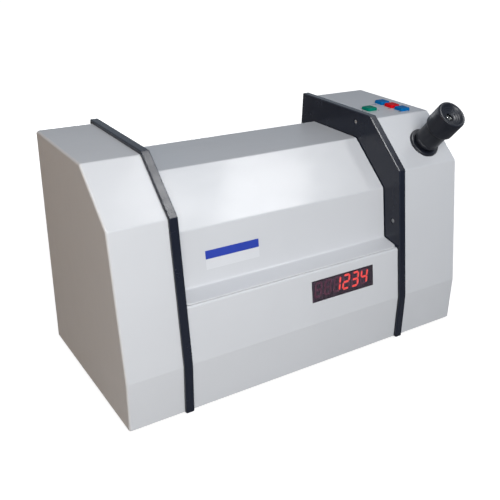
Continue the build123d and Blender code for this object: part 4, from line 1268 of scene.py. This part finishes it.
@dataclass
class Studio:
    """Pale floor, soft lamps, the surrounding light and the camera."""

    eye: Point = (-0.4131, -0.6009, 0.4479)
    forward: Point = (0.4979, 0.7442, -0.4453)
    right: Point = (0.8388, -0.5437, 0.0293)
    focal: float = 703.22
    middle: Spot = (254.64, 265.37)
    frame_px: float = 500.0
    sensor: float = 36.0
    floor_half: float = 4.0
    floor_tones: Spot = (0.36, 0.33)
    pale_from: float = 0.45
    pale_to: float = 1.2
    pale_near: float = 0.85
    ambient: float = 0.14
    mirrored: float = 0.42
    sky: Light = (0.78, 0.88, 1.0, 1.0)
    lamps: tuple[Softbox, ...] = (
        Softbox("front_softbox", (-0.42, -1.00, 0.74), (-0.03, 0.0, 0.12), (0.7, 0.5), 12.5,
                (255, 254, 250)),
        Softbox("slant_softbox", (-0.05, -0.95, 1.12), (-0.05, -0.03, 0.2), (0.5, 0.4), 2.9,
                (222, 236, 255)),
        Softbox("rear_softbox", (0.20, 1.35, 0.115), (0.0, 0.0, 0.115), (0.9, 0.19), 12.0,
                (250, 252, 255)),
        Softbox("right_softbox", (1.35, 0.10, 0.115), (0.0, 0.0, 0.115), (0.8, 0.19), 8.0,
                (250, 252, 255)),
        Softbox("left_fill", (-1.5, 0.15, 0.5), (-0.2, 0.0, 0.12), (0.9, 0.9), 2.7,
                (255, 186, 56)),
        Softbox("sheen_softbox", (0.76, -0.345, 1.43), (0.0, -0.03, 0.2), (0.26, 0.26), 7.6,
                sheen_only=True),
        Softbox("rim_softbox", (0.41, -0.345, 1.47), (0.0, -0.03, 0.2), (0.20, 0.20), 2.3,
                sheen_only=True),
        Softbox("edge_softbox", (-0.74, -0.26, 1.18), (0.0, -0.03, 0.2), (0.20, 0.20), 5.0,
                sheen_only=True),
    )

    def build(self) -> None:
        """Makes the floor, the lamps, the world and the camera."""
        self.floor()
        for lamp in self.lamps:
            lamp.hang()
        self.world()
        self.camera()
        LOG.info("studio ready")

    def floor(self) -> None:
        """Makes the flat floor, which keeps the shadow and pales to white further out."""
        work = bmesh.new()
        bmesh.ops.create_grid(work, x_segments=8, y_segments=8, size=self.floor_half)
        mesh = bpy.data.meshes.new("floor")
        work.to_mesh(mesh)
        work.free()
        plane = bpy.data.objects.new("floor", mesh)
        bpy.context.scene.collection.objects.link(plane)
        material = bpy.data.materials.new("pale floor")
        sheet = Sheet.cleared(material)
        shader = sheet.add("BsdfPrincipled", Roughness=0.9, Specular_IOR_Level=0.1)
        cloud = sheet.noise(sheet.object_place(), 3.0, 3.0)
        first, second = ((tone, tone, tone, 1.0) for tone in self.floor_tones)
        sheet.put(sheet.blend(cloud, first, second), shader.inputs["Base Color"])
        seen = sheet.add("LightPath").outputs["Is Camera Ray"]
        reach = sheet.fed("VectorMath", (sheet.object_place(),), operation="LENGTH")
        pale = sheet.spread(reach.outputs["Value"], self.pale_from, self.pale_to,
                            self.pale_near, 1.0)
        glow = sheet.add("Emission", Color=WHITE, Strength=sheet.maths("MULTIPLY", seen, pale))
        both = sheet.fed("AddShader", (shader.outputs[0], glow.outputs[0]))
        sheet.show(both.outputs[0])
        plane.data.materials.append(material)
        plane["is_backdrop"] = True

    def world(self) -> None:
        """Lights the scene evenly and shows white behind it."""
        world = bpy.data.worlds.new("studio")
        bpy.context.scene.world = world
        sheet = Sheet.cleared(world)
        path = sheet.add("LightPath").outputs
        seen = sheet.maths("MAXIMUM", path["Is Camera Ray"], path["Is Transmission Ray"])
        glossy = sheet.maths("MULTIPLY", path["Is Glossy Ray"], self.mirrored)
        share = sheet.maths("MAXIMUM", seen, glossy)
        back = sheet.add("Background", Color=sheet.blend(seen, self.sky, WHITE),
                         Strength=sheet.spread(share, 0.0, 1.0, self.ambient, 1.0))
        sheet.show(back.outputs[0], "OutputWorld")
        bpy.context.scene.view_settings.view_transform = "Standard"

    def camera(self) -> None:
        """Sets the camera where the photograph was taken."""
        data = bpy.data.cameras.new("camera")
        data.sensor_width = self.sensor
        data.lens = self.focal * self.sensor / self.frame_px
        data.shift_x = (self.frame_px / 2 - self.middle[0]) / self.frame_px
        data.shift_y = (self.middle[1] - self.frame_px / 2) / self.frame_px
        data.clip_start, data.clip_end = 0.05, 20.0
        camera = bpy.data.objects.new("camera", data)
        look = Vector(self.forward).normalized()
        across = Vector(self.right).normalized()
        up = across.cross(look).normalized()
        turn = Matrix((across, up, -look)).transposed().to_4x4()
        camera.matrix_world = Matrix.Translation(Vector(self.eye)) @ turn
        bpy.context.scene.collection.objects.link(camera)
        bpy.context.scene.camera = camera


def corners() -> list[list[float]]:
    """Gives the shown object's lowest and highest corners as plain lists."""
    return [list(map(float, corner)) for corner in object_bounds()]


def main() -> None:
    """Builds every sub-assembly in order."""
    logging.basicConfig(level=logging.INFO, format="%(message)s")
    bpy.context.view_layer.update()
    housing = Housing()
    housing.dress()
    housing.build()
    for assembly in (Lid(), Eyepiece(), Buttons(), Display(), Chamber(), LightSource(), Analyser(),
                     Electronics(), RearFittings(), Studio()):
        assembly.build()
        LOG.info("%s built", type(assembly).__name__)


if __name__ == "__main__":
    main()
